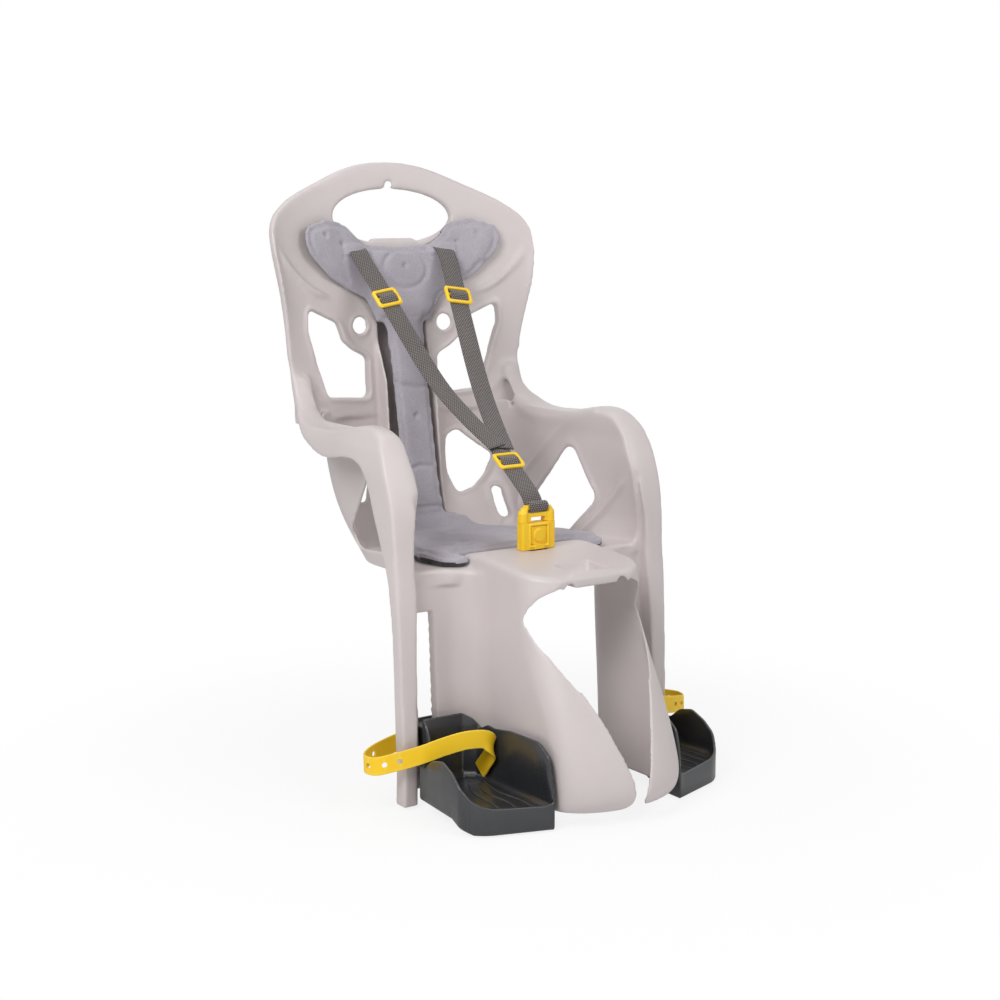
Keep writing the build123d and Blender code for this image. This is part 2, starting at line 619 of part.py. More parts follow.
# Harness
for side, name in ((-1, "left"), (1, "right")):
    lift = LAYER if side < 0 else 0.0
    route = reflected(SHOULDER_ROUTE, side)
    route[-1] = (route[-1][0], route[-1][1], route[-1][2] + lift)
    route[-2] = (route[-2][0], route[-2][1], route[-2][2] + lift)
    with BuildPart() as shoulder_strap:
        loft(ribbon(route, WEB_WIDTH, WEB_THICKNESS), ruled=True)
    shoulder_strap.part.label = f"shoulder_strap_{name}"
    export_step(shoulder_strap.part, f"parts/shoulder_strap_{name}.step")

    at_slider = Vector(*route[3])
    ahead = Vector(*route[4]) - Vector(*route[2])
    plane = slider_plane(tuple(at_slider), tuple(ahead), SLIDER_LIFT)
    shoulder_slider = slider_frame(plane)
    shoulder_slider.label = f"shoulder_slider_{name}"
    export_step(shoulder_slider, f"parts/shoulder_slider_{name}.step")
    shoulder_loop = slider_loop(plane)
    shoulder_loop.label = f"slider_loop_{name}"
    export_step(shoulder_loop, f"parts/slider_loop_{name}.step")

    # rod through the strap's end, behind the back
    end = route[0]
    with BuildPart() as strap_bar:
        with BuildSketch(Plane.YZ.offset(end[0] - BAR_LENGTH / 2)):
            with Locations((end[1] + BAR_RADIUS + PAD_GAP, end[2])):
                Circle(BAR_RADIUS)
        extrude(amount=BAR_LENGTH)
    strap_bar.part.label = f"strap_bar_{name}"
    export_step(strap_bar.part, f"parts/strap_bar_{name}.step")

with BuildPart() as crotch_strap:
    loft(ribbon(CROTCH_ROUTE, WEB_WIDTH, WEB_THICKNESS), ruled=True)
crotch_strap.part.label = "crotch_strap"
export_step(crotch_strap.part, "parts/crotch_strap.step")

chest_ahead = Vector(*CROTCH_ROUTE[2]) - Vector(*CROTCH_ROUTE[0])
chest_plane = slider_plane(CROTCH_ROUTE[1], tuple(chest_ahead), CHEST_LIFT)
chest_slider = slider_frame(chest_plane)
chest_slider.label = "chest_slider"
export_step(chest_slider, "parts/chest_slider.step")
chest_loop = slider_loop(chest_plane)
chest_loop.label = "chest_loop"
export_step(chest_loop, "parts/chest_loop.step")

# Buckle: housing, tongue, push button and its spring, and the anchor that holds it in the pommel
half_buckle = BUCKLE_THICKNESS / 2
with BuildPart() as buckle_body:
    with BuildSketch(Plane.XY.offset(BUCKLE_FOOT)):
        with Locations((0, BUCKLE_Y)):
            RectangleRounded(BUCKLE_WIDTH, BUCKLE_THICKNESS, 3)
    extrude(amount=BUCKLE_SPLIT - BUCKLE_FOOT)
    # mouth for the blade
    with BuildSketch(Plane.XY.offset(BUCKLE_SPLIT)):
        with Locations((0, BUCKLE_Y + 2)):
            Rectangle(BLADE[0] + 2 * BLADE_CLEARANCE, BLADE[1] + 2 * BLADE_CLEARANCE)
    extrude(amount=-BLADE[2] - 2, mode=Mode.SUBTRACT)
    # window for the button, and a bore behind it for the spring
    button_mid = BUCKLE_FOOT + 17
    with BuildSketch(Plane.XZ.offset(-BUCKLE_Y + half_buckle)):
        with Locations((0, button_mid)):
            Rectangle(BUTTON_WIDTH + 2 * BUTTON_CLEARANCE, BUTTON_HEIGHT + 2 * BUTTON_CLEARANCE)
    extrude(amount=-(BUTTON_DEPTH + BUTTON_TRAVEL), mode=Mode.SUBTRACT)
buckle_body.part.label = "buckle_body"
export_step(buckle_body.part, "parts/buckle_body.step")

with BuildPart() as buckle_button:
    front = -BUCKLE_Y + half_buckle
    with BuildSketch(Plane.XZ.offset(front - BUTTON_DEPTH + 0.4)):
        with Locations((0, button_mid)):
            RectangleRounded(BUTTON_WIDTH, BUTTON_HEIGHT, 2)
    extrude(amount=BUTTON_DEPTH - 0.8)
    with BuildSketch(Plane.XZ.offset(front - 1)):
        with Locations((0, button_mid)):
            Circle(BUTTON_WIDTH * 0.36)
    extrude(amount=2.6)
buckle_button.part.label = "buckle_button"
export_step(buckle_button.part, "parts/buckle_button.step")

with BuildPart() as buckle_spring:
    # wave spring between the button and the housing's floor
    spring_gap = BUTTON_TRAVEL + 0.4
    with BuildSketch(Plane.XZ.offset(front - BUTTON_DEPTH - BUTTON_TRAVEL + 0.05)):
        with Locations((0, button_mid)):
            Circle(5)
            Circle(3.5, mode=Mode.SUBTRACT)
    extrude(amount=spring_gap - 0.15)
buckle_spring.part.label = "buckle_spring"
export_step(buckle_spring.part, "parts/buckle_spring.step")

with BuildPart() as buckle_tongue:
    with BuildSketch(Plane.XZ.offset(-BUCKLE_Y + TONGUE_THICKNESS / 2)):
        with BuildLine():
            half_width = BUCKLE_WIDTH / 2
            Polyline((1 - half_width, BUCKLE_SPLIT + PAD_GAP), (half_width - 1, BUCKLE_SPLIT + PAD_GAP),
                     (half_width - 2, BUCKLE_TOP - 12), (half_width - 9, BUCKLE_TOP),
                     (9 - half_width, BUCKLE_TOP), (2 - half_width, BUCKLE_TOP - 12), close=True)
        make_face()
        with Locations((0, BUCKLE_SPLIT + 3.2)):
            Rectangle(21, 5.8, mode=Mode.SUBTRACT)
        with Locations((0, BUCKLE_TOP - 7)):
            Rectangle(WEB_WIDTH + 2 * SLOT_CLEARANCE, 4.2, mode=Mode.SUBTRACT)
    extrude(amount=-TONGUE_THICKNESS)
    with Locations((0, BUCKLE_Y + 2, BUCKLE_SPLIT + PAD_GAP + 4 - BLADE[2] / 2)):
        Box(BLADE[0], BLADE[1], BLADE[2] + 8)
    with BuildSketch(Plane.XZ.offset(-BUCKLE_Y + 20)):
        with Locations((0, BUCKLE_SPLIT + 8.0)):
            Rectangle(21, 15.4)
    extrude(amount=-40, mode=Mode.SUBTRACT)
buckle_tongue.part.label = "buckle_tongue"
export_step(buckle_tongue.part, "parts/buckle_tongue.step")

with BuildPart() as buckle_anchor:
    with Locations((0, BUCKLE_Y, (BUCKLE_FOOT + POMMEL_TOP[3][1] - 12) / 2)):
        Box(ANCHOR_STEM[0], ANCHOR_STEM[1], BUCKLE_FOOT - POMMEL_TOP[3][1] + 12)
    with Locations((0, BUCKLE_Y, POMMEL_TOP[3][1] - 11)):
        Box(ANCHOR_STEM[0] + 14, 18, 3)
buckle_anchor.part.label = "buckle_anchor"
export_step(buckle_anchor.part, "parts/buckle_anchor.step")

# Footrests with their latches and rubber straps, right side first
with BuildPart() as footrest:
    with BuildSketch() as foot_plan:
        with BuildLine():
            Polyline(FOOT_PLAN, close=True)
        make_face()
        fillet(foot_plan.vertices(), FOOT_CORNER)
    extrude(amount=110)
    with BuildSketch(Plane.XY.offset(FOOT_FLOOR)):
        offset(foot_plan.sketch, amount=-FOOT_WALL)
    extrude(amount=110, mode=Mode.SUBTRACT)
    with BuildSketch(Plane.XY.offset(FOOT_FLOOR - FOOT_WALL)):
        offset(foot_plan.sketch, amount=-FOOT_WALL)
    extrude(amount=-60, mode=Mode.SUBTRACT)
    for top, start, width in ((FOOT_OUTER_TOP, 106, 100), (FOOT_INNER_TOP, 80, 26)):
        with BuildSketch(Plane.YZ.offset(start)):
            with BuildLine():
                Polyline(top + [(top[-1][0], 130), (top[0][0], 130)], close=True)
            make_face()
        extrude(amount=width, mode=Mode.SUBTRACT)
    with BuildSketch(Plane.YZ.offset(80)):
        with BuildLine():
            Polyline(FOOT_SKIRT + [(FOOT_SKIRT[-1][0], -10), (FOOT_SKIRT[0][0], -10)], close=True)
        make_face()
    extrude(amount=130, mode=Mode.SUBTRACT)

with BuildPart() as footrest_latch:
    # neck through the height slot, and the plate that holds it from behind
    latch_mid = sum(LATCH_Z) / 2
    footrest_rear = FOOT_PLAN[2][1]
    with Locations((sum(LATCH_NECK) / 2, (footrest_rear + LATCH_PLATE_Y[0]) / 2, latch_mid)):
        Box(LATCH_NECK[1] - LATCH_NECK[0], LATCH_PLATE_Y[0] - footrest_rear, LATCH_Z[1] - LATCH_Z[0])
    with Locations((sum(LATCH_PLATE) / 2, sum(LATCH_PLATE_Y) / 2, latch_mid)):
        Box(LATCH_PLATE[1] - LATCH_PLATE[0], LATCH_PLATE_Y[1] - LATCH_PLATE_Y[0], LATCH_Z[1] - LATCH_Z[0] + 6)
    with BuildSketch(Plane.XZ.offset(-LATCH_PLATE_Y[1])):
        with Locations(STUD_PLACE):
            Circle(STUD_RADIUS + STUD_CLEARANCE)
    extrude(amount=LATCH_PLATE_Y[1] - LATCH_PLATE_Y[0] + 4, mode=Mode.SUBTRACT)

with BuildPart() as foot_strap:
    loft(ribbon(FOOT_STRAP_ROUTE, STRAP_BAND, STRAP_THICKNESS, across=(0, 0.05, 1)), ruled=True)
    with BuildSketch(Plane.XZ.offset(-FOOT_STRAP_ROUTE[-1][1] - 6)):
        with Locations(STUD_PLACE):
            Circle(STUD_RADIUS + 2 * PAD_GAP)
    extrude(amount=12, mode=Mode.SUBTRACT)

with BuildPart() as strap_stud:
    strap_rear = FOOT_STRAP_ROUTE[-1][1] + STRAP_THICKNESS / 2 + PAD_GAP
    with BuildSketch(Plane.XZ.offset(-LATCH_PLATE_Y[0] - 0.5)):
        with Locations(STUD_PLACE):
            Circle(STUD_RADIUS)
    extrude(amount=-(strap_rear - LATCH_PLATE_Y[0] - 0.5))
    with BuildSketch(Plane.XZ.offset(-strap_rear)):
        with Locations(STUD_PLACE):
            Circle(STUD_HEAD[0])
    extrude(amount=-STUD_HEAD[1])

for side, name in ((-1, "left"), (1, "right")):
    for piece, label in ((footrest, "footrest"), (footrest_latch, "footrest_latch"),
                         (foot_strap, "foot_strap"), (strap_stud, "strap_stud")):
        solid = piece.part if side > 0 else mirror(piece.part, about=Plane.YZ)
        solid.label = f"{label}_{name}"
        export_step(solid, f"parts/{label}_{name}.step")
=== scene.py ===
"""Looks of a child bike seat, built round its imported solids.

Lengths are in metres; the tables of places, routes and zones are in millimetres.
"""

import math
from types import SimpleNamespace

import bmesh
import bpy
import numpy as np
from mathutils import Matrix, Vector, noise
from mathutils.bvhtree import BVHTree
from mathutils.kdtree import KDTree


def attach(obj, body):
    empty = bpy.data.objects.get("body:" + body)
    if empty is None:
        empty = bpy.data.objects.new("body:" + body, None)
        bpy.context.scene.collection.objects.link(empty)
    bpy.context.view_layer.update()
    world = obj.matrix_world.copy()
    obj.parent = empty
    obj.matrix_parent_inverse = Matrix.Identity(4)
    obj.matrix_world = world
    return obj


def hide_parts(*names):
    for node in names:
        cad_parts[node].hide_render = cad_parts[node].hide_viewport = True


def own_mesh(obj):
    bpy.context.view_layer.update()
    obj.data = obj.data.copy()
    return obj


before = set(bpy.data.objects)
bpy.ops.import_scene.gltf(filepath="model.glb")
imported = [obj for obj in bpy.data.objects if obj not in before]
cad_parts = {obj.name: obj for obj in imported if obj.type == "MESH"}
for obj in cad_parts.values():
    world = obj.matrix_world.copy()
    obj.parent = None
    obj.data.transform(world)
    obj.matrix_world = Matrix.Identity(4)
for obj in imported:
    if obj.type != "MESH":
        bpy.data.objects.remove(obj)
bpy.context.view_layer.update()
MM = 0.001

# Camera at the photograph's place: the seat is seen from the front on its -X side, a little from above
CAMERA_PLACE = (-1.2542, -1.7871, 0.7050)
CAMERA_AZIMUTH = math.radians(-34.976)
CAMERA_DROP = math.radians(9.552)
CAMERA_LENS = 64.56


def new_object(name, data):
    """An object in the scene that shows the data."""
    thing = bpy.data.objects.new(name, data)
    bpy.context.scene.collection.objects.link(thing)
    return thing


def place_camera():
    """The photograph's camera, without shift or blur."""
    data = bpy.data.cameras.new("camera")
    data.lens = CAMERA_LENS
    data.sensor_width = 36.0
    data.clip_end = 50.0
    camera = new_object("camera", data)
    level = math.cos(CAMERA_DROP)
    turn = CAMERA_AZIMUTH
    ahead = Vector((-math.sin(turn) * level, math.cos(turn) * level, -math.sin(CAMERA_DROP)))
    camera.location = CAMERA_PLACE
    camera.rotation_mode = "QUATERNION"
    camera.rotation_quaternion = ahead.to_track_quat("-Z", "Y")
    bpy.context.scene.camera = camera
    bpy.context.scene.view_settings.view_transform = "Standard"


place_camera()


# Nodes
def feed(tree, node, inputs):
    """Feeds a node's inputs: outputs are linked, colours and plain values are set."""
    for label, value in inputs.items():
        if isinstance(value, bpy.types.NodeSocket):
            tree.links.new(value, node.inputs[label])
        elif isinstance(value, tuple):
            node.inputs[label].default_value = (*value, 1.0)
        else:
            node.inputs[label].default_value = value
    return node


def new_node(tree, kind, inputs):
    """A node of a kind with its inputs fed."""
    return feed(tree, tree.nodes.new(kind), inputs)


def math_node(tree, operation, *values):
    """The result of a Math node on outputs or numbers."""
    node = tree.nodes.new("ShaderNodeMath")
    node.operation = operation
    return feed(tree, node, dict(enumerate(values))).outputs[0]


def group_node(tree, group, inputs):
    """A node that runs a shader group."""
    node = tree.nodes.new("ShaderNodeGroup")
    node.node_tree = group
    return feed(tree, node, inputs)


def new_group(name, inputs, *outputs):
    """A shader group and its end nodes; an input without a value is a vector, the others are numbers."""
    group = bpy.data.node_groups.new(name, "ShaderNodeTree")
    for label, value in inputs.items():
        kind = "NodeSocketVector" if value is None else "NodeSocketFloat"
        socket = group.interface.new_socket(label, in_out="INPUT", socket_type=kind)
        if value is not None:
            socket.default_value = value
    for label in outputs:
        group.interface.new_socket(label, in_out="OUTPUT", socket_type="NodeSocketFloat")
    return group, group.nodes.new("NodeGroupInput").outputs, group.nodes.new("NodeGroupOutput")


def new_material(name):
    """A material with its node tree and its main shader."""
    material = bpy.data.materials.new(name)
    material.use_nodes = True
    return material, material.node_tree, material.node_tree.nodes["Principled BSDF"]


def mix_colour(tree, mask, low, high):
    """Colour from low to high by a mask."""
    node = tree.nodes.new("ShaderNodeMix")
    node.data_type = "RGBA"
    return feed(tree, node, {"A": low, "B": high, "Factor": mask}).outputs["Result"]


def spread(tree, value, low, high):
    """A noise value, mostly between 0.3 and 0.7, spread between two ends."""
    ends = {"Value": value, "From Min": 0.3, "From Max": 0.7, "To Min": low, "To Max": high}
    return new_node(tree, "ShaderNodeMapRange", ends).outputs["Result"]


def add_bump(tree, shader, height, strength, distance, invert=False):
    """Bump on the shader from a height."""
    bump = new_node(tree, "ShaderNodeBump", {"Strength": strength, "Distance": distance, "Height": height})
    bump.invert = invert
    feed(tree, shader, {"Normal": bump.outputs["Normal"]})


def object_place(tree):
    """Coordinates on the object, in metres."""
    return tree.nodes.new("ShaderNodeTexCoord").outputs["Object"]


# Shader groups: effects that several finishes share
def grain_group():
    """Fine moulded grain over slow clouds: a height for bump and a shade for colour."""
    scales = {"Vector": None, "Grain per metre": 1400.0, "Cloud per metre": 9.0}
    group, given, result = new_group("moulded_grain", scales, "Height", "Shade")
    where = given["Vector"]
    grain = new_node(group, "ShaderNodeTexNoise", {
        "Vector": where, "Scale": given["Grain per metre"], "Detail": 3.0, "Roughness": 0.6}).outputs["Fac"]
    cloud = new_node(group, "ShaderNodeTexNoise", {
        "Vector": where, "Scale": given["Cloud per metre"], "Detail": 4.0}).outputs["Fac"]
    fine = math_node(group, "MULTIPLY", grain, 0.25)
    slow = math_node(group, "MULTIPLY", cloud, 0.75)
    feed(group, result, {"Height": grain, "Shade": math_node(group, "ADD", fine, slow)})
    return group


def painted_highlight_group():
    """Painted edge highlight: bright where the surface turns out sharply, broken up by patches."""
    group, given, result = new_group("painted_edge_highlight", {"Vector": None, "Start": 0.53, "End": 0.60}, "Mask")
    noisy = {"Vector": given["Vector"], "Scale": 140.0, "Detail": 5.0}
    patches = new_node(group, "ShaderNodeTexNoise", noisy)
    turn = group.nodes.new("ShaderNodeNewGeometry").outputs["Pointiness"]
    edge = new_node(group, "ShaderNodeMapRange", {"Value": turn, "From Min": given["Start"],
                                                  "From Max": given["End"]}).outputs["Result"]
    feed(group, result, {"Mask": math_node(group, "MULTIPLY", edge, patches.outputs["Fac"])})
    return group


def weave_group():
    """Flat webbing: rows of bulging yarns across the strap, each row half a yarn on, in metres of UV."""
    group, given, result = new_group("webbing_weave", {"UV": None, "Yarn": 0.0034, "Row": 0.0022}, "Height")
    split = new_node(group, "ShaderNodeSeparateXYZ", {0: given["UV"]})
    rows = math_node(group, "DIVIDE", split.outputs["Y"], given["Row"])
    shift = math_node(group, "MULTIPLY", math_node(group, "FLOOR", rows), 0.5)
    yarns = math_node(group, "DIVIDE", split.outputs["X"], given["Yarn"])
    yarns = math_node(group, "ADD", yarns, shift)
    humps = []
    for count in (yarns, rows):
        share = math_node(group, "FRACT", count)
        humps.append(math_node(group, "SINE", math_node(group, "MULTIPLY", share, math.pi)))
    bulge = math_node(group, "POWER", math_node(group, "MULTIPLY", *humps), 1.2)
    feed(group, result, {"Height": bulge})
    return group


GRAIN = grain_group()
EDGE_HIGHLIGHT = painted_highlight_group()
WEAVE = weave_group()


# Finishes
def plastic(name, dark, light, highlight_colour, rough, grain, depth, coat=0.0, metallic=0.0):
    """Moulded or plated finish: clouded colour, fine grain, a painted highlight on sharp edges and uneven
    gloss.
    """
    material, tree, shader = new_material(name)
    where = object_place(tree)
    texture = group_node(tree, GRAIN, {"Vector": where, "Grain per metre": grain}).outputs
    # Painted highlight: sharp convex edges take the lighter edge colour
    mask = group_node(tree, EDGE_HIGHLIGHT, {"Vector": where}).outputs["Mask"]
    body = mix_colour(tree, spread(tree, texture["Shade"], 0.0, 1.0), dark, light)
    feed(tree, shader, {"Base Color": mix_colour(tree, mask, body, highlight_colour), "Metallic": metallic,
                        "Roughness": spread(tree, texture["Shade"], *rough), "Coat Weight": coat})
    add_bump(tree, shader, texture["Height"], strength=0.5, distance=depth)
    return material


def foam_cloth(name, dark, light):
    """Foam with a fine knitted face: small round cells and soft sheen."""
    material, tree, shader = new_material(name)
    where = object_place(tree)
    cells = new_node(tree, "ShaderNodeTexVoronoi", {"Vector": where, "Scale": 620.0}).outputs["Distance"]
    scales = {"Vector": where, "Grain per metre": 900.0, "Cloud per metre": 22.0}
    shade = group_node(tree, GRAIN, scales).outputs["Shade"]
    pits, clouds = math_node(tree, "MULTIPLY", cells, 0.35), math_node(tree, "MULTIPLY", shade, 0.65)
    mask = math_node(tree, "ADD", pits, clouds)
    feed(tree, shader, {"Base Color": mix_colour(tree, spread(tree, mask, 0.0, 1.0), light, dark),
                        "Roughness": spread(tree, shade, 0.72, 0.9),
                        "Sheen Weight": 0.25, "Sheen Roughness": 0.5})
    add_bump(tree, shader, cells, strength=0.6, distance=0.0005, invert=True)
    return material


def webbing(name, dark, light):
    """Woven polyester strap, its yarns laid out on the strap's own UV in metres."""
    material, tree, shader = new_material(name)
    layout = tree.nodes.new("ShaderNodeUVMap")
    layout.uv_map = "strap_uv"
    height = group_node(tree, WEAVE, {"UV": layout.outputs["UV"]}).outputs["Height"]
    where = object_place(tree)
    shade = group_node(tree, GRAIN, {"Vector": where}).outputs["Shade"]
    tone = math_node(tree, "MULTIPLY", height, math_node(tree, "ADD", shade, 0.4))
    feed(tree, shader, {"Base Color": mix_colour(tree, tone, dark, light),
                        "Roughness": spread(tree, shade, 0.6, 0.8), "Sheen Weight": 0.2})
    add_bump(tree, shader, height, strength=1.0, distance=0.0007)
    return material


# The third colour of each finish is a painted highlight for its sharp edges
SHELL = plastic("shell_plastic", (0.60, 0.542, 0.535), (0.67, 0.606, 0.60), (0.76, 0.70, 0.69),
                rough=(0.34, 0.46), grain=1600.0, depth=0.00012)
YELLOW = plastic("yellow_nylon", (0.98, 0.60, 0.006), (1.0, 0.66, 0.01), (1.0, 0.75, 0.08),
                 rough=(0.28, 0.38), grain=1500.0, depth=0.00006, coat=0.25)
RUBBER = plastic("yellow_rubber", (0.97, 0.59, 0.006), (1.0, 0.65, 0.01), (1.0, 0.74, 0.1),
                 rough=(0.42, 0.55), grain=1200.0, depth=0.0001)
CHARCOAL = plastic("charcoal_plastic", (0.017, 0.018, 0.021), (0.034, 0.036, 0.041), (0.12, 0.124, 0.132),
                   rough=(0.24, 0.36), grain=1300.0, depth=0.0001, coat=0.3)
BLACK = plastic("black_nylon", (0.018, 0.018, 0.02), (0.032, 0.032, 0.034), (0.08, 0.08, 0.085),
                rough=(0.4, 0.5), grain=1200.0, depth=0.0001)
STEEL = plastic("plated_steel", (0.5, 0.51, 0.52), (0.62, 0.63, 0.64), (0.72, 0.73, 0.74),
                rough=(0.26, 0.36), grain=900.0, depth=0.00004, metallic=1.0)
FOAM = foam_cloth("liner_foam", (0.36, 0.336, 0.38), (0.48, 0.45, 0.50))
FOAM_DARK = foam_cloth("liner_underside", (0.012, 0.012, 0.014), (0.03, 0.03, 0.034))
STRAP = webbing("harness_webbing", (0.008, 0.0075, 0.007), (0.37, 0.32, 0.305))


# Meshes
def mm(*values):
    """A vector given in millimetres."""
    return Vector(values) * MM


def as_mesh(shape, name):
    """The bmesh as a mesh; the bmesh is freed."""
    mesh = bpy.data.meshes.new(name)
    shape.to_mesh(mesh)
    shape.free()
    return mesh


def paint(mesh, *finishes):
    """Gives a mesh its materials in place of those it has."""
    mesh.materials.clear()
    for finish in finishes:
        mesh.materials.append(finish)


def shade_smooth(mesh):
    """Smooth shading on every face."""
    mesh.polygons.foreach_set("use_smooth", [True] * len(mesh.polygons))


def new_piece(name, shape, material):
    """An object made of a bmesh, with one material, smooth shaded."""
    piece = new_object(name, as_mesh(shape, name))
    paint(piece.data, material)
    shade_smooth(piece.data)
    return piece


def solid_of(node):
    """A CAD node's mesh."""
    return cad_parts[node].data


def merged(*sources):
    """One bmesh of several meshes, with the doubles of each merged first."""
    whole = bmesh.new()
    for source in sources:
        part = bmesh.new()
        part.from_mesh(source)
        bmesh.ops.remove_doubles(part, verts=part.verts, dist=1e-6)
        mesh = as_mesh(part, "part")
        whole.from_mesh(mesh)
        bpy.data.meshes.remove(mesh)
    return whole


def surface_of(node):
    """A tree for rays onto a CAD node's surface."""
    solid = merged(solid_of(node))
    tree = BVHTree.FromBMesh(solid)
    solid.free()
    return tree


def apply_modifiers(piece):
    """Turns the piece's mesh into what its modifiers make of it, and removes them."""
    graph = bpy.context.evaluated_depsgraph_get()
    mesh = bpy.data.meshes.new_from_object(piece.evaluated_get(graph))
    piece.modifiers.clear()
    old = piece.data
    piece.data = mesh
    if old.users == 0:
        bpy.data.meshes.remove(old)


def add_smoothing(piece, name, rounds):
    """A Smooth modifier of so many rounds."""
    smooth = piece.modifiers.new(name, "SMOOTH")
    smooth.factor = 0.5
    smooth.iterations = rounds
    return smooth


def soften(piece, voxel, rounds, most=None):
    """One closed skin over the piece's solids, with soft edges and at most so many triangles."""
    remesh = piece.modifiers.new("skin", "REMESH")
    remesh.mode = "VOXEL"
    remesh.voxel_size = voxel
    apply_modifiers(piece)
    add_smoothing(piece, "soft", rounds)
    apply_modifiers(piece)
    triangles = len(piece.data.polygons) * 2
    if most and triangles > most:
        piece.modifiers.new("fewer", "DECIMATE").ratio = most / triangles
        apply_modifiers(piece)
    shade_smooth(piece.data)


def settle(piece, body, slot, *nodes):
    """The piece rides on a body and stands for its CAD nodes, which it hides; the slot is not used."""
    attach(piece, body)
    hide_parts(*nodes)


def soft_node(node, body, slot, material, voxel, rounds, most, extra=()):
    """A softened copy of a CAD node in its place, with extra closed meshes melted into it."""
    piece = new_piece(node + "_skin", merged(solid_of(node), *extra), material)
    soften(piece, voxel, rounds, most)
    paint(piece.data, material)
    settle(piece, body, slot, node)


def vectors_of(items, field):
    """One row of three numbers for each of a mesh's points or normals."""
    rows = np.empty(len(items) * 3)
    items.foreach_get(field, rows)
    return rows.reshape(-1, 3)


def points_of(mesh):
    """The mesh's points as an array."""
    return vectors_of(mesh.vertices, "co")


def move_points(mesh, spots):
    """Puts the mesh's points at the array's places."""
    mesh.vertices.foreach_set("co", spots.ravel())
    mesh.update()


def bridge(shape, *rings):
    """Faces between each closed ring of points and the next."""
    count = len(rings[0])
    for low, high in zip(rings, rings[1:]):
        for k in range(count):
            m = (k + 1) % count
            shape.faces.new((low[k], low[m], high[m], high[k]))


def cap(shape, first, last):
    """Closes both ends of a row of rings and turns every face outwards."""
    shape.faces.new(list(reversed(first)))
    shape.faces.new(last)
    bmesh.ops.recalc_face_normals(shape, faces=shape.faces)


def block(low, high):
    """Closed box mesh between two corners in millimetres."""
    low, high = mm(*low), mm(*high)
    shape = bmesh.new()
    bmesh.ops.create_cube(shape, size=1.0)
    bmesh.ops.scale(shape, vec=high - low, verts=shape.verts)
    bmesh.ops.translate(shape, vec=(high + low) / 2, verts=shape.verts)
    return as_mesh(shape, "block")


def prism(outline, low, high):
    """Closed block of constant outline between two heights, in millimetres."""
    shape = bmesh.new()
    rings = [[shape.verts.new(mm(x, y, z)) for x, y in outline] for z in (low, high)]
    bridge(shape, *rings)
    cap(shape, *rings)
    return as_mesh(shape, "prism")


# Paths, bars and ribbons
THIN_SHARE = 0.25
BAR_SIDES = 16


def heading(path, k):
    """The direction of a path at its point of that number."""
    return (path[min(k + 1, len(path) - 1)] - path[max(k - 1, 0)]).normalized()


def even_path(points, step):
    """Points a step apart on a smooth curve through the given ones."""
    knots = [Vector(point) for point in points]
    run = [knots[0] * 2 - knots[1]] + knots + [knots[-1] * 2 - knots[-2]]
    dense = []
    for before, start, end, after in zip(run, run[1:], run[2:], run[3:]):
        t1, t2, t3 = ((b - a).length ** 0.5 for a, b in ((before, start), (start, end), (end, after)))
        leave = end - start + ((start - before) / t1 - (end - before) / (t1 + t2)) * t2
        reach = end - start + ((after - end) / t3 - (after - start) / (t2 + t3)) * t2
        count = max(4, int((end - start).length / step * 4))
        for k in range(count):
            t = k / count
            dense.append(start * (2 * t ** 3 - 3 * t ** 2 + 1) + leave * (t ** 3 - 2 * t ** 2 + t)
                         + end * (3 * t ** 2 - 2 * t ** 3) + reach * (t ** 3 - t ** 2))
    dense.append(knots[-1])
    spots = np.array(dense)
    gone = np.concatenate([[0], np.cumsum(np.linalg.norm(np.diff(spots, axis=0), axis=1))])
    wanted = np.linspace(0, gone[-1], max(3, int(gone[-1] / step) + 1))
    return [Vector(p) for p in zip(*(np.interp(wanted, gone, spots[:, k]) for k in range(3)))]


def bar_tree():
    """Geometry Nodes: a round bar along every chain of edges, as thick as its taper says."""
    tree = bpy.data.node_groups.new("bar_along_path", "GeometryNodeTree")
    for label, kind in (("Path", "Geometry"), ("Radius", "Float"), ("Sides", "Int"), ("Finish", "Material")):
        tree.interface.new_socket(label, in_out="INPUT", socket_type="NodeSocket" + kind)
    tree.interface.new_socket("Bar", in_out="OUTPUT", socket_type="NodeSocketGeometry")
    given = tree.nodes.new("NodeGroupInput").outputs
    curve = new_node(tree, "GeometryNodeMeshToCurve", {"Mesh": given["Path"]})
    circle = {"Radius": given["Radius"], "Resolution": given["Sides"]}
    ring = new_node(tree, "GeometryNodeCurvePrimitiveCircle", circle)
    taper = new_node(tree, "GeometryNodeInputNamedAttribute", {"Name": "taper"})
    sweep = new_node(tree, "GeometryNodeCurveToMesh", {
        "Curve": curve.outputs["Curve"], "Profile Curve": ring.outputs["Curve"],
        "Scale": taper.outputs["Attribute"], "Fill Caps": True})
    real = new_node(tree, "GeometryNodeRealizeInstances", {"Geometry": sweep.outputs["Mesh"]})
    painted = {"Geometry": real.outputs["Geometry"], "Material": given["Finish"]}
    finish = new_node(tree, "GeometryNodeSetMaterial", painted)
    new_node(tree, "NodeGroupOutput", {"Bar": finish.outputs["Geometry"]})
    return tree


BAR = bar_tree()


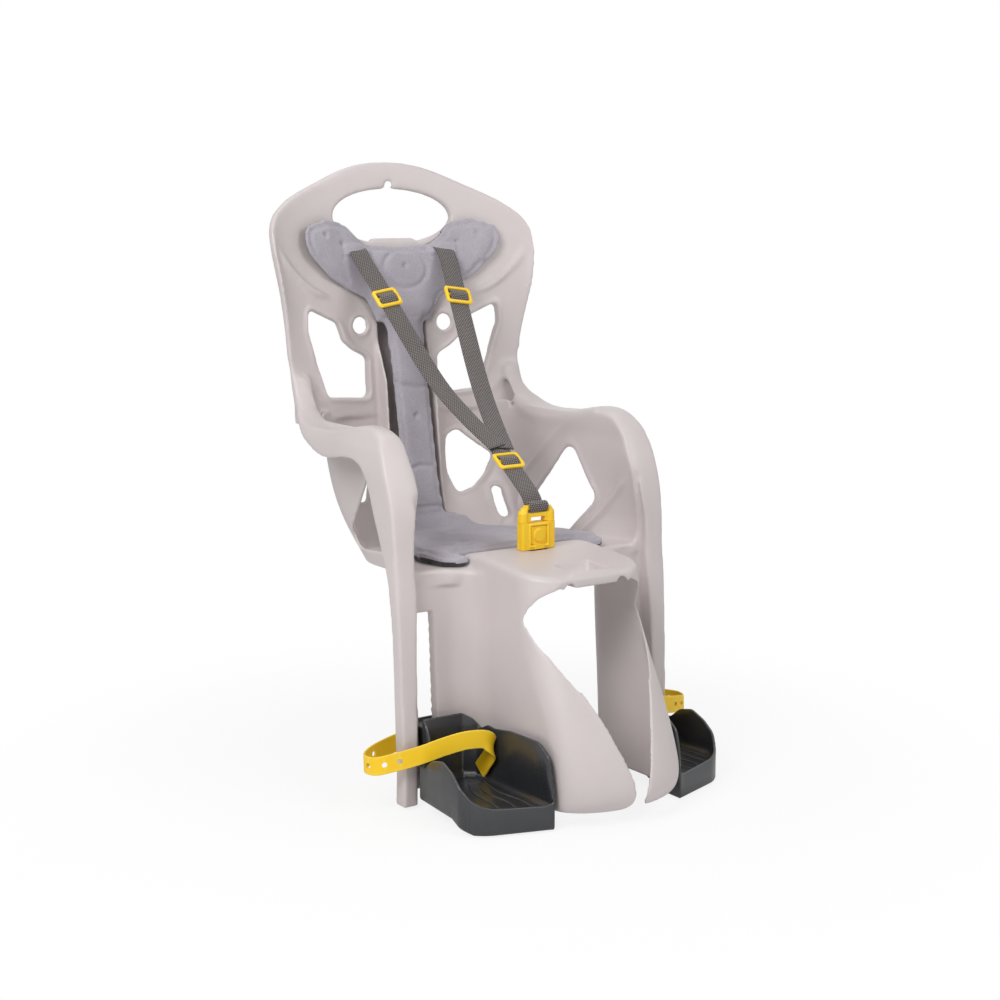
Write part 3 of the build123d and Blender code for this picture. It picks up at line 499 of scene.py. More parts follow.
def bars(paths, radius, finish, sides=10, ends=1.0):
    """Mesh of bars along paths; open ones thin out to the given share at their ends."""
    mesh = bpy.data.meshes.new("bars")
    spots, edges, taper = [], [], []
    for path, closed in paths:
        first, count = len(spots), len(path)
        spots += path
        edges += [(first + k, first + k + 1) for k in range(count - 1)]
        if closed:
            edges.append((first + count - 1, first))
        for k in range(count):
            near = min(k, count - 1 - k) / max(1, count * THIN_SHARE)
            taper.append(1.0 if closed else ends + (1 - ends) * math.sin(min(1.0, near) * math.pi / 2))
    mesh.from_pydata(spots, edges, [])
    mesh.attributes.new("taper", "FLOAT", "POINT").data.foreach_set("value", taper)
    holder = new_object("bars", mesh)
    modifier = holder.modifiers.new("bar", "NODES")
    modifier.node_group = BAR
    values = {"Radius": radius, "Sides": sides, "Finish": finish}
    for item in BAR.interface.items_tree:
        if item.in_out == "INPUT" and item.name in values:
            modifier[item.identifier] = values[item.name]
    apply_modifiers(holder)
    result = holder.data
    bpy.data.objects.remove(holder)
    return result


def strap_frames(path, across):
    """Place and the width, thickness and length directions at every point of a path."""
    frames = []
    for k, point in enumerate(path):
        along = heading(path, k)
        wide = (across - along * across.dot(along)).normalized()
        frames.append((point, wide, along.cross(wide), along))
    return frames


def ribbon(name, path, across, width, thickness, material):
    """Closed flat strap along a path, with soft edges and its weave laid out in metres."""
    half, thick = width / 2, thickness / 2
    edge = half - thick * 0.7
    ring = [(-half, 0), (-edge, thick), (-half * 0.5, thick * 1.1), (0, thick * 1.15),
            (half * 0.5, thick * 1.1), (edge, thick), (half, 0), (edge, -thick), (half * 0.5, -thick),
            (0, -thick), (-half * 0.5, -thick), (-edge, -thick)]
    shape = bmesh.new()
    layer = shape.loops.layers.uv.new("strap_uv")
    rows, gone, last = [], 0.0, path[0]
    for point, wide, up, _ in strap_frames(path, across):
        gone += (point - last).length
        last = point
        rows.append((gone, [shape.verts.new(point + wide * a + up * b) for a, b in ring]))
    count = len(ring)
    for (low, before), (high, after) in zip(rows, rows[1:]):
        for k in range(count):
            m = (k + 1) % count
            face = shape.faces.new((before[k], before[m], after[m], after[k]))
            for loop, (side, run) in zip(face.loops, ((k, low), (m, low), (m, high), (k, high))):
                loop[layer].uv = (ring[side][0] + half, run)
    cap(shape, rows[0][1], rows[-1][1])
    return new_piece(name, shape, material)


def tapered_bar(points, radii):
    """Closed round bar through points, with its own radius at each."""
    shape = bmesh.new()
    rings = []
    for k, point in enumerate(points):
        turn = heading(points, k).to_track_quat("Z", "Y")
        radius = radii[k]
        angles = (math.tau * n / BAR_SIDES for n in range(BAR_SIDES))
        rings.append([shape.verts.new(point + turn @ Vector((math.cos(a) * radius, math.sin(a) * radius, 0)))
                      for a in angles])
    bridge(shape, *rings)
    cap(shape, rings[0], rings[-1])
    return as_mesh(shape, "tapered_bar")


def mirrored(points, side):
    """Points in millimetres on the +X side, or their image on the -X side."""
    return [mm(side * x, y, z) for x, y, z in points]


def ramp(value, low, high):
    """0 below low, 1 above high, smooth between; arrays welcome."""
    t = np.clip((value - low) / (high - low), 0, 1)
    return t * t * (3 - 2 * t)


def between(value, start, end):
    """1 between two fades, each a pair of limits, and 0 outside them."""
    return ramp(value, *start) * (1 - ramp(value, *end))


def polygon_points(corners):
    """Points about one unit apart round a closed polygon in 2-D."""
    spots = []
    for start, end in zip(corners, corners[1:] + corners[:1]):
        run = int(math.dist(start, end))
        spots += [(start[0] + (end[0] - start[0]) * k / run, start[1] + (end[1] - start[1]) * k / run)
                  for k in range(run)]
    return np.array(spots)


def outline_path(corners, soft, grow):
    """Even points round a closed polygon, its corners softened over a length, then moved out."""
    spots = polygon_points(corners)
    reach = int(soft / 2)
    spots = sum(np.roll(spots, k, axis=0) for k in range(-reach, reach + 1)) / (2 * reach + 1)
    along = np.roll(spots, -2, axis=0) - np.roll(spots, 2, axis=0)
    out = np.stack([along[:, 1], -along[:, 0]], axis=1) / np.linalg.norm(along, axis=1)[:, None]
    area = np.sum(spots[:, 0] * np.roll(spots[:, 1], -1) - np.roll(spots[:, 0], -1) * spots[:, 1])
    return (spots + out * grow * np.sign(area))[::3]


def laid_ring(tree, starts, way):
    """A closed path through the places where rays from the given points meet a surface."""
    hits = (tree.ray_cast(start, way)[0] for start in starts)
    return [hit for hit in hits if hit is not None], True


# The moulded shell's openings, ribs and fillers: x and z, y and z, or x, y and z of the +X side
UPPER_WINDOW = [(146, 567), (147, 540), (132, 494), (119, 452), (54, 447), (54, 500), (74, 510), (89, 522),
                (98, 546)]
LOWER_WINDOW = [(64, 389), (82, 397), (124, 362), (111, 335), (95, 319), (72, 312), (62, 342)]
WAIST_SLOT = [(112, 283), (116, 319), (124, 319), (120, 283)]
SIDE_OPENING = [(58, 393), (4, 326), (40, 278), (158, 270)]
TAB_HOLE = (65, 542, 10.5)
TAB_HOLE_POINTS = 40
SLOT_CORNER = 4
SIDE_CORNER = 24
FRONT_OPENINGS = ((UPPER_WINDOW, 14), (LOWER_WINDOW, 14), (WAIST_SLOT, SLOT_CORNER))
RIM_GAP = 2.5
SIDE_RIM_GAP = 3.0
ARM_RIB = [(149, 48, 432), (149, 81, 406), (147, 105, 385), (144, 131, 360), (140, 150, 338), (136, 153, 318),
           (131, 150, 300), (127, 143, 285), (121, 141, 273)]
FRONT_RIB = [(144, -47, 363), (141, -33, 345), (138, -18, 327), (135, -5, 310), (132, 6, 295), (126, 20, 274)]
SHOULDER_RIB = [(188, 214, 640), (177, 216, 623), (166, 219, 611), (151, 222, 598), (137, 224.5, 589),
                (112, 228.5, 579)]
WAIST_RIB = [(165, 205, 484), (152, 211, 469), (139, 216, 454), (122, 217.5, 443)]
RIB_STEP = 0.003
PAN_CORNER = [(74, -98), (84, -94), (88, -80), (94, -69), (103, -60.5), (114, -55.5), (126, -54), (126, -44),
              (74, -44)]
PAN_CORNER_HEIGHTS = (260, 271.5)
POMMEL_LIP = ((-17, -186, 276), (17, -182.5, 281.5))
POMMEL_DECK = ((-32, -186, 272.5), (32, -94, 280))
RIM = 2.6
RIB = 4.2
# Rays start inside the bucket, in front of its back and beside its middle
RAY_DEPTH = 120
RAY_WIDTH = 60
BACKWARDS = Vector((0, 1, 0))

# How the shell's skin is reshaped
BUCKET_HALF_WIDTH = ((254, 285, 312, 350, 395, 436), (126, 131, 136, 142, 148, 152))
RAIL_INSIDE = ((262, 320, 370, 420), (169, 161, 152, 149))
ARM_LINE = ((-83, -75, -70, -65, -60, -55, -50, -45, -40, -30, -20, -10, 0, 20, 60),
            (60, 236, 300, 346, 367, 381, 392, 402, 411, 424, 433, 437, 440, 441, 434))
RAIL_MIDDLE = 166
ARM_SPLIT = 16
FLARE = SimpleNamespace(gap=4, skin=5, start=90, back=(-54, 30), front=-62, foot=255, top=(400, 436))
PUSH = SimpleNamespace(reach=10, start=(110, 135), end=(150, 196), rise=(255, 310), back=(-20, 70))
TRIM = SimpleNamespace(drop=12, edge=(174, 24), width=176, front=-64, foot=300, top=450)
ROLL = SimpleNamespace(drop=9, edge=(168, 20), above=2, below=26, width=140, back=190, top=462)
SCOOP = SimpleNamespace(depth=12, edge=(22, 25), front=(-181, -177), back=(-145, -138), foot=262)
LENS = SimpleNamespace(depth=5, middle=(-17, -37), half=(9, 4.5), fade=(0.75, 1.05), foot=270)
SHELL_TRIANGLES = 185000
WEIGHT_LEVELS = 10


def shell_details():
    """Rims round the openings, ribs on the sides, fillers at the pan's corners and in the pommel."""
    tree = surface_of("shell")
    rims, ribs, extra = [], [], []
    for side in (-1, 1):
        for corners, soft in FRONT_OPENINGS:
            starts = [mm(side * x, RAY_DEPTH, z) for x, z in outline_path(corners, soft, RIM_GAP)]
            rims.append(laid_ring(tree, starts, BACKWARDS))
        outline = outline_path(SIDE_OPENING, SIDE_CORNER, SIDE_RIM_GAP)
        starts = [mm(side * RAY_WIDTH, y, z) for y, z in outline]
        rims.append(laid_ring(tree, starts, Vector((side, 0, 0))))
        x, z, radius = TAB_HOLE
        reach = radius + RIM_GAP
        starts = [mm(side * x + reach * math.cos(a), RAY_DEPTH, z + reach * math.sin(a))
                  for a in (math.tau * n / TAB_HOLE_POINTS for n in range(TAB_HOLE_POINTS))]
        rims.append(laid_ring(tree, starts, BACKWARDS))
        for rib in (ARM_RIB, FRONT_RIB, SHOULDER_RIB, WAIST_RIB):
            ribs.append((even_path(mirrored(rib, side), RIB_STEP), False))
        extra.append(prism([(side * x, y) for x, y in PAN_CORNER], *PAN_CORNER_HEIGHTS))
    extra.append(bars(rims, RIM * MM, SHELL))
    extra.append(bars(ribs, RIB * MM, SHELL, ends=0.35))
    extra.append(block(*POMMEL_LIP))
    extra.append(block(*POMMEL_DECK))
    return extra


def rolled(across, edge, width):
    """0 outside an edge, growing with the square of the way in to 1 a width inside it."""
    return np.minimum(1, np.maximum(0, edge - across) / width) ** 2


def reshape_shell(spots):
    """Sides flared to the rails, armrests cut and rolled to the arm line, hollows in the pommel."""
    x, y, z = spots.T / MM
    wide = np.abs(x)
    half = np.interp(z, *BUCKET_HALF_WIDTH)
    shift = np.maximum(0, np.interp(z, *RAIL_INSIDE) - half - FLARE.gap)
    near = 1 - ramp(y, *FLARE.back)
    inner = np.clip((wide - FLARE.start) / (half - FLARE.start), 0, 1)
    outer = 1 - np.clip((wide - half - FLARE.skin) / np.maximum(1, RAIL_MIDDLE - half), 0, 1)
    zone = (z > FLARE.foot) * (1 - ramp(z, *FLARE.top)) * (y > FLARE.front)
    x = x + np.sign(x) * shift * near * inner * outer * zone
    narrow = ramp(z, *PUSH.rise) * (1 - ramp(y, *PUSH.back))
    narrow = narrow * (1 - ramp(wide, *PUSH.end)) * (wide > PUSH.start[0])
    x = x + np.sign(x) * PUSH.reach * narrow * ramp(wide, *PUSH.start)
    wide = np.abs(x)
    top = np.interp(y, *ARM_LINE)
    roof = top - TRIM.drop * rolled(wide, *TRIM.edge)
    front = (wide < TRIM.width) & (y < ARM_SPLIT) & (y > TRIM.front)
    z = np.where(front & (z > roof) & (z > TRIM.foot) & (z < TRIM.top), roof, z)
    fall = ROLL.drop * rolled(wide, *ROLL.edge) * ramp(z, top - ROLL.below, top + ROLL.above)
    z = z - fall * (z < ROLL.top) * (y >= ARM_SPLIT) * (y < ROLL.back) * (wide > ROLL.width)
    scoop = (1 - ramp(wide, *SCOOP.edge)) * ramp(y, *SCOOP.front)
    scoop = scoop * (1 - ramp(y, *SCOOP.back))
    z = z - SCOOP.depth * scoop * (z > SCOOP.foot)
    away = np.hypot((x - LENS.middle[0]) / LENS.half[0], (y - LENS.middle[1]) / LENS.half[1])
    z = z - LENS.depth * ((1 - ramp(away, *LENS.fade)) * (z > LENS.foot))
    return np.stack([x, y, z], axis=1) * MM


def smoothing_weights(spots):
    """How much each point of the shell is smoothed: along its edges, and at the armrests' roots."""
    x, y, z = spots.T / MM
    wide = np.abs(x)
    rim = np.maximum(ramp(wide, 150, 178) * ramp(z, 440, 480), ramp(z, 690, 730))
    arm = between(z, (340, 380), (450, 480)) * ramp(wide, 140, 150)
    pommel = between(z, (262, 266), (300, 320)) * ramp(-y, 30, 60) * (1 - ramp(wide, 95, 110))
    pommel = pommel * (1 - ramp(-y, 165, 180)) * (1 - (wide < 32) * ramp(-y, 120, 130))
    corner = between(z, (250, 262), (285, 300)) * (y < -36) * (y > -100) * (wide > 80)
    guard = between(z, (120, 160), (264, 270)) * (y < -110) * (wide < 92) * (wide > 49)
    root = between(z, (438, 448), (490, 505)) * ramp(wide, 128, 140) * (y > 165)
    return rim + arm + 0.6 * pommel + corner + guard, root + 0.8 * guard


def make_shell():
    """The shell's skin: one closed moulding with soft edges."""
    skin = new_piece("shell_skin", merged(solid_of("shell"), *shell_details()), SHELL)
    soften(skin, voxel=0.0022, rounds=1)
    move_points(skin.data, reshape_shell(points_of(skin.data)))
    soften(skin, voxel=0.0018, rounds=6)
    edges, roots = smoothing_weights(points_of(skin.data))
    for name, weight, rounds in (("soft_edges", edges, 26), ("arm_roots", roots, 70)):
        group = skin.vertex_groups.new(name=name)
        for level in range(1, WEIGHT_LEVELS + 1):
            above = weight > (level - 0.5) / WEIGHT_LEVELS
            below = (weight <= (level + 0.5) / WEIGHT_LEVELS) | (level == WEIGHT_LEVELS)
            picked = np.nonzero(above & below)[0]
            if len(picked):
                group.add(picked.tolist(), level / WEIGHT_LEVELS, "REPLACE")
        add_smoothing(skin, name, rounds).vertex_group = name
    fewer = skin.modifiers.new("fewer", "DECIMATE")
    fewer.ratio = min(1.0, SHELL_TRIANGLES / (len(skin.data.polygons) * 2))
    apply_modifiers(skin)
    skin.vertex_groups.clear()
    paint(skin.data, SHELL)
    shade_smooth(skin.data)
    settle(skin, "seat", "shell", "shell")


make_shell()


# The liner: foam pressed with seams, its black underside showing at the edges
CROSS_SEAMS = [[(-39, 474), (-16, 464), (7, 460), (38, 460)],
               [(-30, 348), (-19, 354), (-2, 359), (16, 356), (30, 348)],
               [(-44, 300), (-20, 304), (20, 304), (44, 300)]]
CROSS_SEAM_HALF = 44
OVAL_SEAM = (5, 614, 33, 25)
HEAD_DIMPLES = [(-116, 660), (116, 660), (5, 618), (-88, 648), (88, 648), (0, 423), (-30, 655), (30, 655)]
SEAT_DIMPLES = [(-60, 60), (-30, 95), (0, 110), (30, 95), (60, 60), (-75, 10), (-40, 25), (0, 35), (40, 25),
                (75, 10), (-95, -35), (-55, -5), (55, -5), (95, -35)]
HEAD_FOOT = 560
SEAM_DEPTH = 2.4
SEAM_WIDTH = 2.8
FRAME_PRESS = 0.7
BORDER_PRESS = 0.8
BORDER_INSET = 7.5
EDGE_FACING = 0.15
FOLDS_PER_METRE = 38.0
FOLD_DEPTH = 0.9
BACK_FOLDS = 0.35
SEAT_FOLDS = 0.9
STRAP_SLOT = (66, 640)
SLOT_FRAME = [(-18, -5), (18, -5), (18, 5), (-18, 5)]
SLOT_FRAME_HALF = (22, 9)
# Where the back turns into the seat: the pan lies below this height and in front of this depth
SEAT_HEIGHT = 302
SEAT_FALL = 0.1
SEAT_BACK = 150
LOBE_LIFT = 12
SWELL_FRAMES = 14
UNDERSIDE_FACING = -0.05
# In metres: the same turn for the faces, where the head's side lobes lie, the pad's voxels and its swelling
TURN_HEIGHTS = (0.285, 0.34)
TURN_BACK = 0.18
LOBE_REACH = (0.085, 0.15)
LOBE_FOOT = 0.5
PAD_STEP = 0.0042
PAD_SWELL = 0.0035


def inflate_pad(pad):
    """Foam pad swelled by a short cloth run with air pressure, no gravity and a capped movement."""
    start = points_of(pad.data)
    cloth = pad.modifiers.new("cloth", "CLOTH")
    cloth.settings.quality = 4
    cloth.settings.mass = 0.3
    cloth.settings.use_pressure = True
    cloth.settings.uniform_pressure_force = 4.0
    cloth.settings.effector_weights.gravity = 0.0
    cloth.point_cache.frame_start = 1
    cloth.point_cache.frame_end = SWELL_FRAMES
    scene = bpy.context.scene
    for number in range(1, SWELL_FRAMES + 1):
        scene.frame_set(number)
    apply_modifiers(pad)
    scene.frame_set(1)
    moved = points_of(pad.data) - start
    far = np.linalg.norm(moved, axis=1)
    move_points(pad.data, start + moved * np.minimum(1, PAD_SWELL / np.maximum(far, 1e-9))[:, None])


def groove(gap):
    """A soft groove: 1 at no distance, falling off over a seam's width."""
    return np.exp(-(gap / SEAM_WIDTH) ** 2)


def border_distance(spots, facing):
    """How far each point is from the pad's edge, in millimetres."""
    rim = np.nonzero(np.abs(facing) < EDGE_FACING)[0]
    tree = KDTree(len(rim))
    for n, k in enumerate(rim):
        tree.insert(spots[k], n)
    tree.balance()
    return np.array([tree.find(spot)[2] for spot in spots]) / MM


def press_seams(pad):
    """Seams, oval, strap frames, dimples, border groove and folds pressed into the liner's face."""
    spots, outward = points_of(pad.data), vectors_of(pad.data.vertex_normals, "vector")
    x, y, z = spots.T / MM
    lies = (z < SEAT_HEIGHT - SEAT_FALL * np.abs(x)) & (y < SEAT_BACK)
    facing = np.where(lies, outward[:, 2], -outward[:, 1])
    front = ramp(facing, 0.2, 0.6)
    head = z > HEAD_FOOT
    marks = [np.zeros(len(spots))]
    for seam in CROSS_SEAMS:
        gap = np.abs(z - np.interp(x, [p[0] for p in seam], [p[1] for p in seam]))
        marks.append(groove(gap) * ((np.abs(x) < CROSS_SEAM_HALF) & ~lies))
    mid_x, mid_z, wide, high = OVAL_SEAM
    round_gap = (np.hypot((x - mid_x) / wide, (z - mid_z) / high) - 1) * high
    marks.append(groove(round_gap) * head)
    for side in (-1, 1):
        frame_gap = np.maximum(np.abs(x - side * STRAP_SLOT[0]) - SLOT_FRAME_HALF[0],
                               np.abs(z - STRAP_SLOT[1]) - SLOT_FRAME_HALF[1])
        marks.append(FRAME_PRESS * groove(frame_gap) * head)
    kinds = ((HEAD_DIMPLES, z, 1.7, 12, ~lies), (SEAT_DIMPLES, y, 1.5, 60, lies))
    for dimples, second, strength, size, part in kinds:
        for a, b in dimples:
            marks.append(strength * np.exp(-((x - a) ** 2 + (second - b) ** 2) / size) * part)
    marks.append(BORDER_PRESS * groove(border_distance(spots, facing) - BORDER_INSET))
    folds = np.array([noise.noise(Vector(spot) * FOLDS_PER_METRE) for spot in spots])
    folds = folds * (SEAT_FOLDS * lies + BACK_FOLDS)
    move = (-np.maximum.reduce(marks) * SEAM_DEPTH * front + folds * FOLD_DEPTH * front) * MM
    move_points(pad.data, spots + outward * move[:, None])


def make_liner():
    """The soft liner on the back and the seat."""
    tree = surface_of("liner")
    frames = []
    for side in (-1, 1):
        starts = [mm(side * STRAP_SLOT[0] + a, RAY_DEPTH, STRAP_SLOT[1] + b)
                  for a, b in outline_path(SLOT_FRAME, SLOT_CORNER, grow=0.5)]
        frames.append(laid_ring(tree, starts, BACKWARDS))
    frame_bars = bars(frames, radius=2.6 * MM, finish=FOAM)
    pad = new_piece("liner_foam", merged(solid_of("liner"), frame_bars), FOAM)
    soften(pad, PAD_STEP, rounds=3)
    spots = points_of(pad.data)
    lobes = spots[:, 2] > LOBE_FOOT
    spots[:, 1] -= LOBE_LIFT * MM * ramp(np.abs(spots[:, 0]), *LOBE_REACH) * lobes
    move_points(pad.data, spots)
    inflate_pad(pad)
    finer = pad.modifiers.new("finer", "SUBSURF")
    finer.levels = 1
    finer.render_levels = 1
    apply_modifiers(pad)
    press_seams(pad)
    paint(pad.data, FOAM, FOAM_DARK)
    for face in pad.data.polygons:
        lying = ramp(face.center.z, *TURN_HEIGHTS) if face.center.y < TURN_BACK else 1.0
        facing = face.normal.z * (1 - lying) - face.normal.y * lying
        face.material_index = 1 if facing < UNDERSIDE_FACING else 0
        face.use_smooth = True
    settle(pad, "seat", "liner", "liner")


make_liner()


# Harness: routes of the right side, as the solids have them
SHOULDER_ROUTE = [(66, 249.8, 640.3), (66, 234, 640), (66.1, 222.9, 630.2), (54.4, 180.6, 578.3),
                  (31, 96, 474.5), (17, 46, 430), (4.9, 4.5, 401)]
CROTCH_ROUTE = [(0, 14, 405), (0, -11.5, 386.4), (0, -37, 367.8), (0, -57, 352.5), (0, -63.6, 343),
                (0, -64.2, 336.6), (0, -66, 335), (0, -74, 335), (0, -76, 336.8), (0, -76, 342),
                (0, -74.4, 344.2), (0, -70, 345.4)]
LAYER = 2.6
WEB_WIDTH = 28
LOOP_WIDTH = 26
WEB_THICKNESS = 1.6
LOOP_ROUTE = [(-7.6, 1.1), (-4.8, 2.7), (-2.2, 3.9), (0, 4.3), (2.2, 3.9), (4.8, 2.7), (7.6, 1.1)]
SLIDER_LIFT = 1.2
SIDEWAYS = Vector((1, 0, 0))


def strap_axes(ahead):
    """Directions along a strap that heads a way, across it and off its upper face."""
    along = Vector(ahead).normalized()
    wide = (SIDEWAYS - along * along.x).normalized()
    off = wide.cross(along)
    if off.z < 0:
        off = -off
    return along, wide, off


def lay_webbing(name, path, across, width, body, node):
    """A run of webbing that stands for a CAD node."""
    piece = ribbon(name, path, across, width * MM, WEB_THICKNESS * MM, STRAP)
    settle(piece, body, "webbing", node)


def turned_loop(name, body, node, place, ahead):
    """Webbing turned over an adjuster's middle bar, standing up between its frame's bars."""
    along, wide, off = strap_axes(ahead)
    start = Vector(place) + off * SLIDER_LIFT
    path = even_path([(start + along * a + off * b) * MM for a, b in LOOP_ROUTE], step=0.0006)
    lay_webbing(name, path, wide, LOOP_WIDTH, body, node)


def make_harness():
    """Shoulder straps, crotch strap and the turned webbing on the adjusters."""
    for side, name in ((-1, "left"), (1, "right")):
        route = [Vector((side * x, y, z)) for x, y, z in SHOULDER_ROUTE]
        if side < 0:
            route[-1].z += LAYER
            route[-2].z += LAYER
        path = even_path([p * MM for p in route], step=0.003)
        lay_webbing(f"shoulder_webbing_{name}", path, SIDEWAYS, WEB_WIDTH, "seat", f"shoulder_strap_{name}")
        turned_loop(f"adjuster_webbing_{name}", f"adjuster_{name}", f"slider_loop_{name}", route[3],
                    route[4] - route[2])
    path = even_path(mirrored(CROTCH_ROUTE, 1), step=0.0012)
    lay_webbing("crotch_webbing", path, SIDEWAYS, WEB_WIDTH, "seat", "crotch_strap")
    chest = [Vector(p) for p in CROTCH_ROUTE[:3]]
    turned_loop("chest_webbing", "chest_adjuster", "chest_loop", chest[1], chest[2] - chest[0])


make_harness()


# Buckle, with the button's frame, the release tab and the tongue's shoulders
PANEL_MIDDLE = 305.4
PANEL_HALF = (13.6, 13.2)
PANEL_STEPS = 26
BUCKLE_FACE = -77.0
RELEASE_TAB = ((-7, -79, 288.6), (7, -70, 294.5))
TONGUE_BRIDGE = ((-11.5, -74.4, 327.4), (11.5, -65.6, 332.6))
TONGUE_SHOULDER = [(19.8, -70, 321), (19.4, -70, 332), (16.8, -70, 338)]
SHOULDER_RADII = [0.0064, 0.0064, 0.0046]


def stepped(corners, steps):
    """A closed ring of corners with so many steps along each edge."""
    return [a.lerp(b, k / steps) for a, b in zip(corners, corners[1:] + corners[:1]) for k in range(steps)]


def make_buckle():
    """Housing with a framed panel and a release tab, tongue with shoulders, button and spring."""
    half, tall = PANEL_HALF
    low, high = PANEL_MIDDLE - tall, PANEL_MIDDLE + tall
    square = [mm(x, BUCKLE_FACE, z) for x, z in ((-half, low), (-half, high), (half, high), (half, low))]
    panel = bars([(stepped(square, PANEL_STEPS), True)], radius=1.3 * MM, finish=YELLOW)
    shoulders = [tapered_bar(mirrored(TONGUE_SHOULDER, side), SHOULDER_RADII) for side in (-1, 1)]
    for node, extra in (("buckle_body", [panel, block(*RELEASE_TAB)]),
                        ("buckle_tongue", [block(*TONGUE_BRIDGE)] + shoulders)):
        soft_node(node, "seat", "yellow_plastic", YELLOW, voxel=0.0005, rounds=5, most=60000, extra=extra)
    soft_node("buckle_button", "button", "yellow_plastic", YELLOW, voxel=0.0004, rounds=3, most=20000)
    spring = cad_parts["buckle_spring"]
    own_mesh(spring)


make_buckle()


# Frames of the three strap adjusters
SLIDER_HALF = (16.4, 10.6)
SLIDER_CORNER = 4.0
SLIDER_RIM_LIFT = 1.6
CORNER_STEPS = 6
EDGE_STEPS = 8


def make_adjuster(node, body, place, ahead):
    """Three-bar adjuster: the solid's frame with a round, softly cornered rim."""
    along, wide, off = strap_axes(ahead)
    middle = Vector(place) + off * (SLIDER_LIFT + SLIDER_RIM_LIFT)
    rim = []
    for quarter, (a, b) in enumerate(((1, 1), (-1, 1), (-1, -1), (1, -1))):
        for k in range(CORNER_STEPS + 1):
            turn = math.pi / 2 * (quarter + k / CORNER_STEPS)
            across = a * (SLIDER_HALF[0] - SLIDER_CORNER) + SLIDER_CORNER * math.cos(turn)
            up = b * (SLIDER_HALF[1] - SLIDER_CORNER) + SLIDER_CORNER * math.sin(turn)
            rim.append((middle + wide * across + along * up) * MM)
    extra = [bars([(stepped(rim, EDGE_STEPS), True)], radius=2.3 * MM, finish=YELLOW)]
    soft_node(node, body, "yellow_plastic", YELLOW, voxel=0.0004, rounds=4, most=30000, extra=extra)


def make_adjusters():
    """Both shoulder adjusters and the chest adjuster, each square to its strap."""
    for side, name in ((-1, "left"), (1, "right")):
        above, place, below = (Vector((side * x, y, z)) for x, y, z in SHOULDER_ROUTE[2:5])
        ahead = below - above + Vector((0, 0, LAYER * (side < 0)))
        make_adjuster(f"shoulder_slider_{name}", f"adjuster_{name}", place, ahead)
    above, place, below = (Vector(p) for p in CROTCH_ROUTE[:3])
    make_adjuster("chest_slider", "chest_adjuster", place, below - above)


make_adjusters()


# Footrest of the +X side: plan, heights of the walls' tops and of the skirt's foot by depth, ribs, strap
FOOT_PLAN = [(97, -89), (112, -75), (168, -74), (169, -93), (186, -96), (190, -204), (92, -236), (93, -105)]
OUTER_TOP = ((-240, -214, -198, -187, -169, -147, -125, -108, -97, -86, -74),
             (29, 32, 40, 52, 66, 75, 70, 56, 57, 96, 104))
INNER_TOP = ((-240, -235, -227, -205, -150, -118, -100, -84, -74), (29, 34, 82, 97, 96, 91, 93, 102, 105))
SKIRT = ((-240, -200, -188, -168, -100, -74), (0.5, 0.5, 5, 13, 16, 18))
INNER_WALL_END = (93, 100)
TOP_SOFTNESS = 9
FLOOR = 26.0
FOOT_WALL = 3.5
FLOOR_RISE = (0.8, 9.0)
RISE_SHARE = 0.8
LARGE_CORNER = 34.0
SMALL_CORNER = 3
LARGE_CORNER_DEPTH = (150, 200)
LARGE_CORNER_WIDTH = (112, 150)
FOOT_RIBS = [[(104, -112), (112, -150), (108, -190), (110, -222)],
             [(114, -110), (126, -148), (124, -188), (128, -216)],
             [(124, -106), (140, -144), (142, -182), (146, -210)],
             [(136, -104), (154, -138), (158, -172), (162, -202)],
             [(148, -104), (166, -134), (172, -164), (174, -194)]]
FOOT_STRAP_ROUTE = [(102.5, -99, 37), (102, -112, 52), (104, -128, 72), (113, -129.5, 83),
                    (133, -121.5, 84.5), (158, -109, 78), (183, -99, 70), (213, -87, 63), (233, -76, 59),
                    (237, -60, 59), (222, -45, 61), (190, -36.5, 66), (165, -36.5, 70), (138, -36.5, 71)]
FOOT_STRAP_ACROSS = Vector((0, 0.05, 1))
FOOT_STRAP_WIDTH = 22
FOOT_STRAP_THICKNESS = 2.2
STRAP_HOLES = (0.52, 0.58, 0.64, 0.70, 0.76)
SHARP_ANGLE = 0.6


def foot_outline():
    """The footrest from above: large soft corners at the front, small ones by the rail."""
    spots = polygon_points(FOOT_PLAN)
    count = len(spots)
    soft = []
    for k, spot in enumerate(spots):
        large = float(ramp(-spot[1], *LARGE_CORNER_DEPTH) * ramp(spot[0], *LARGE_CORNER_WIDTH))
        reach = int(SMALL_CORNER + (LARGE_CORNER - SMALL_CORNER) * large)
        soft.append(spots[[(k + m) % count for m in range(-reach, reach + 1)]].mean(axis=0))
    return np.array(soft)


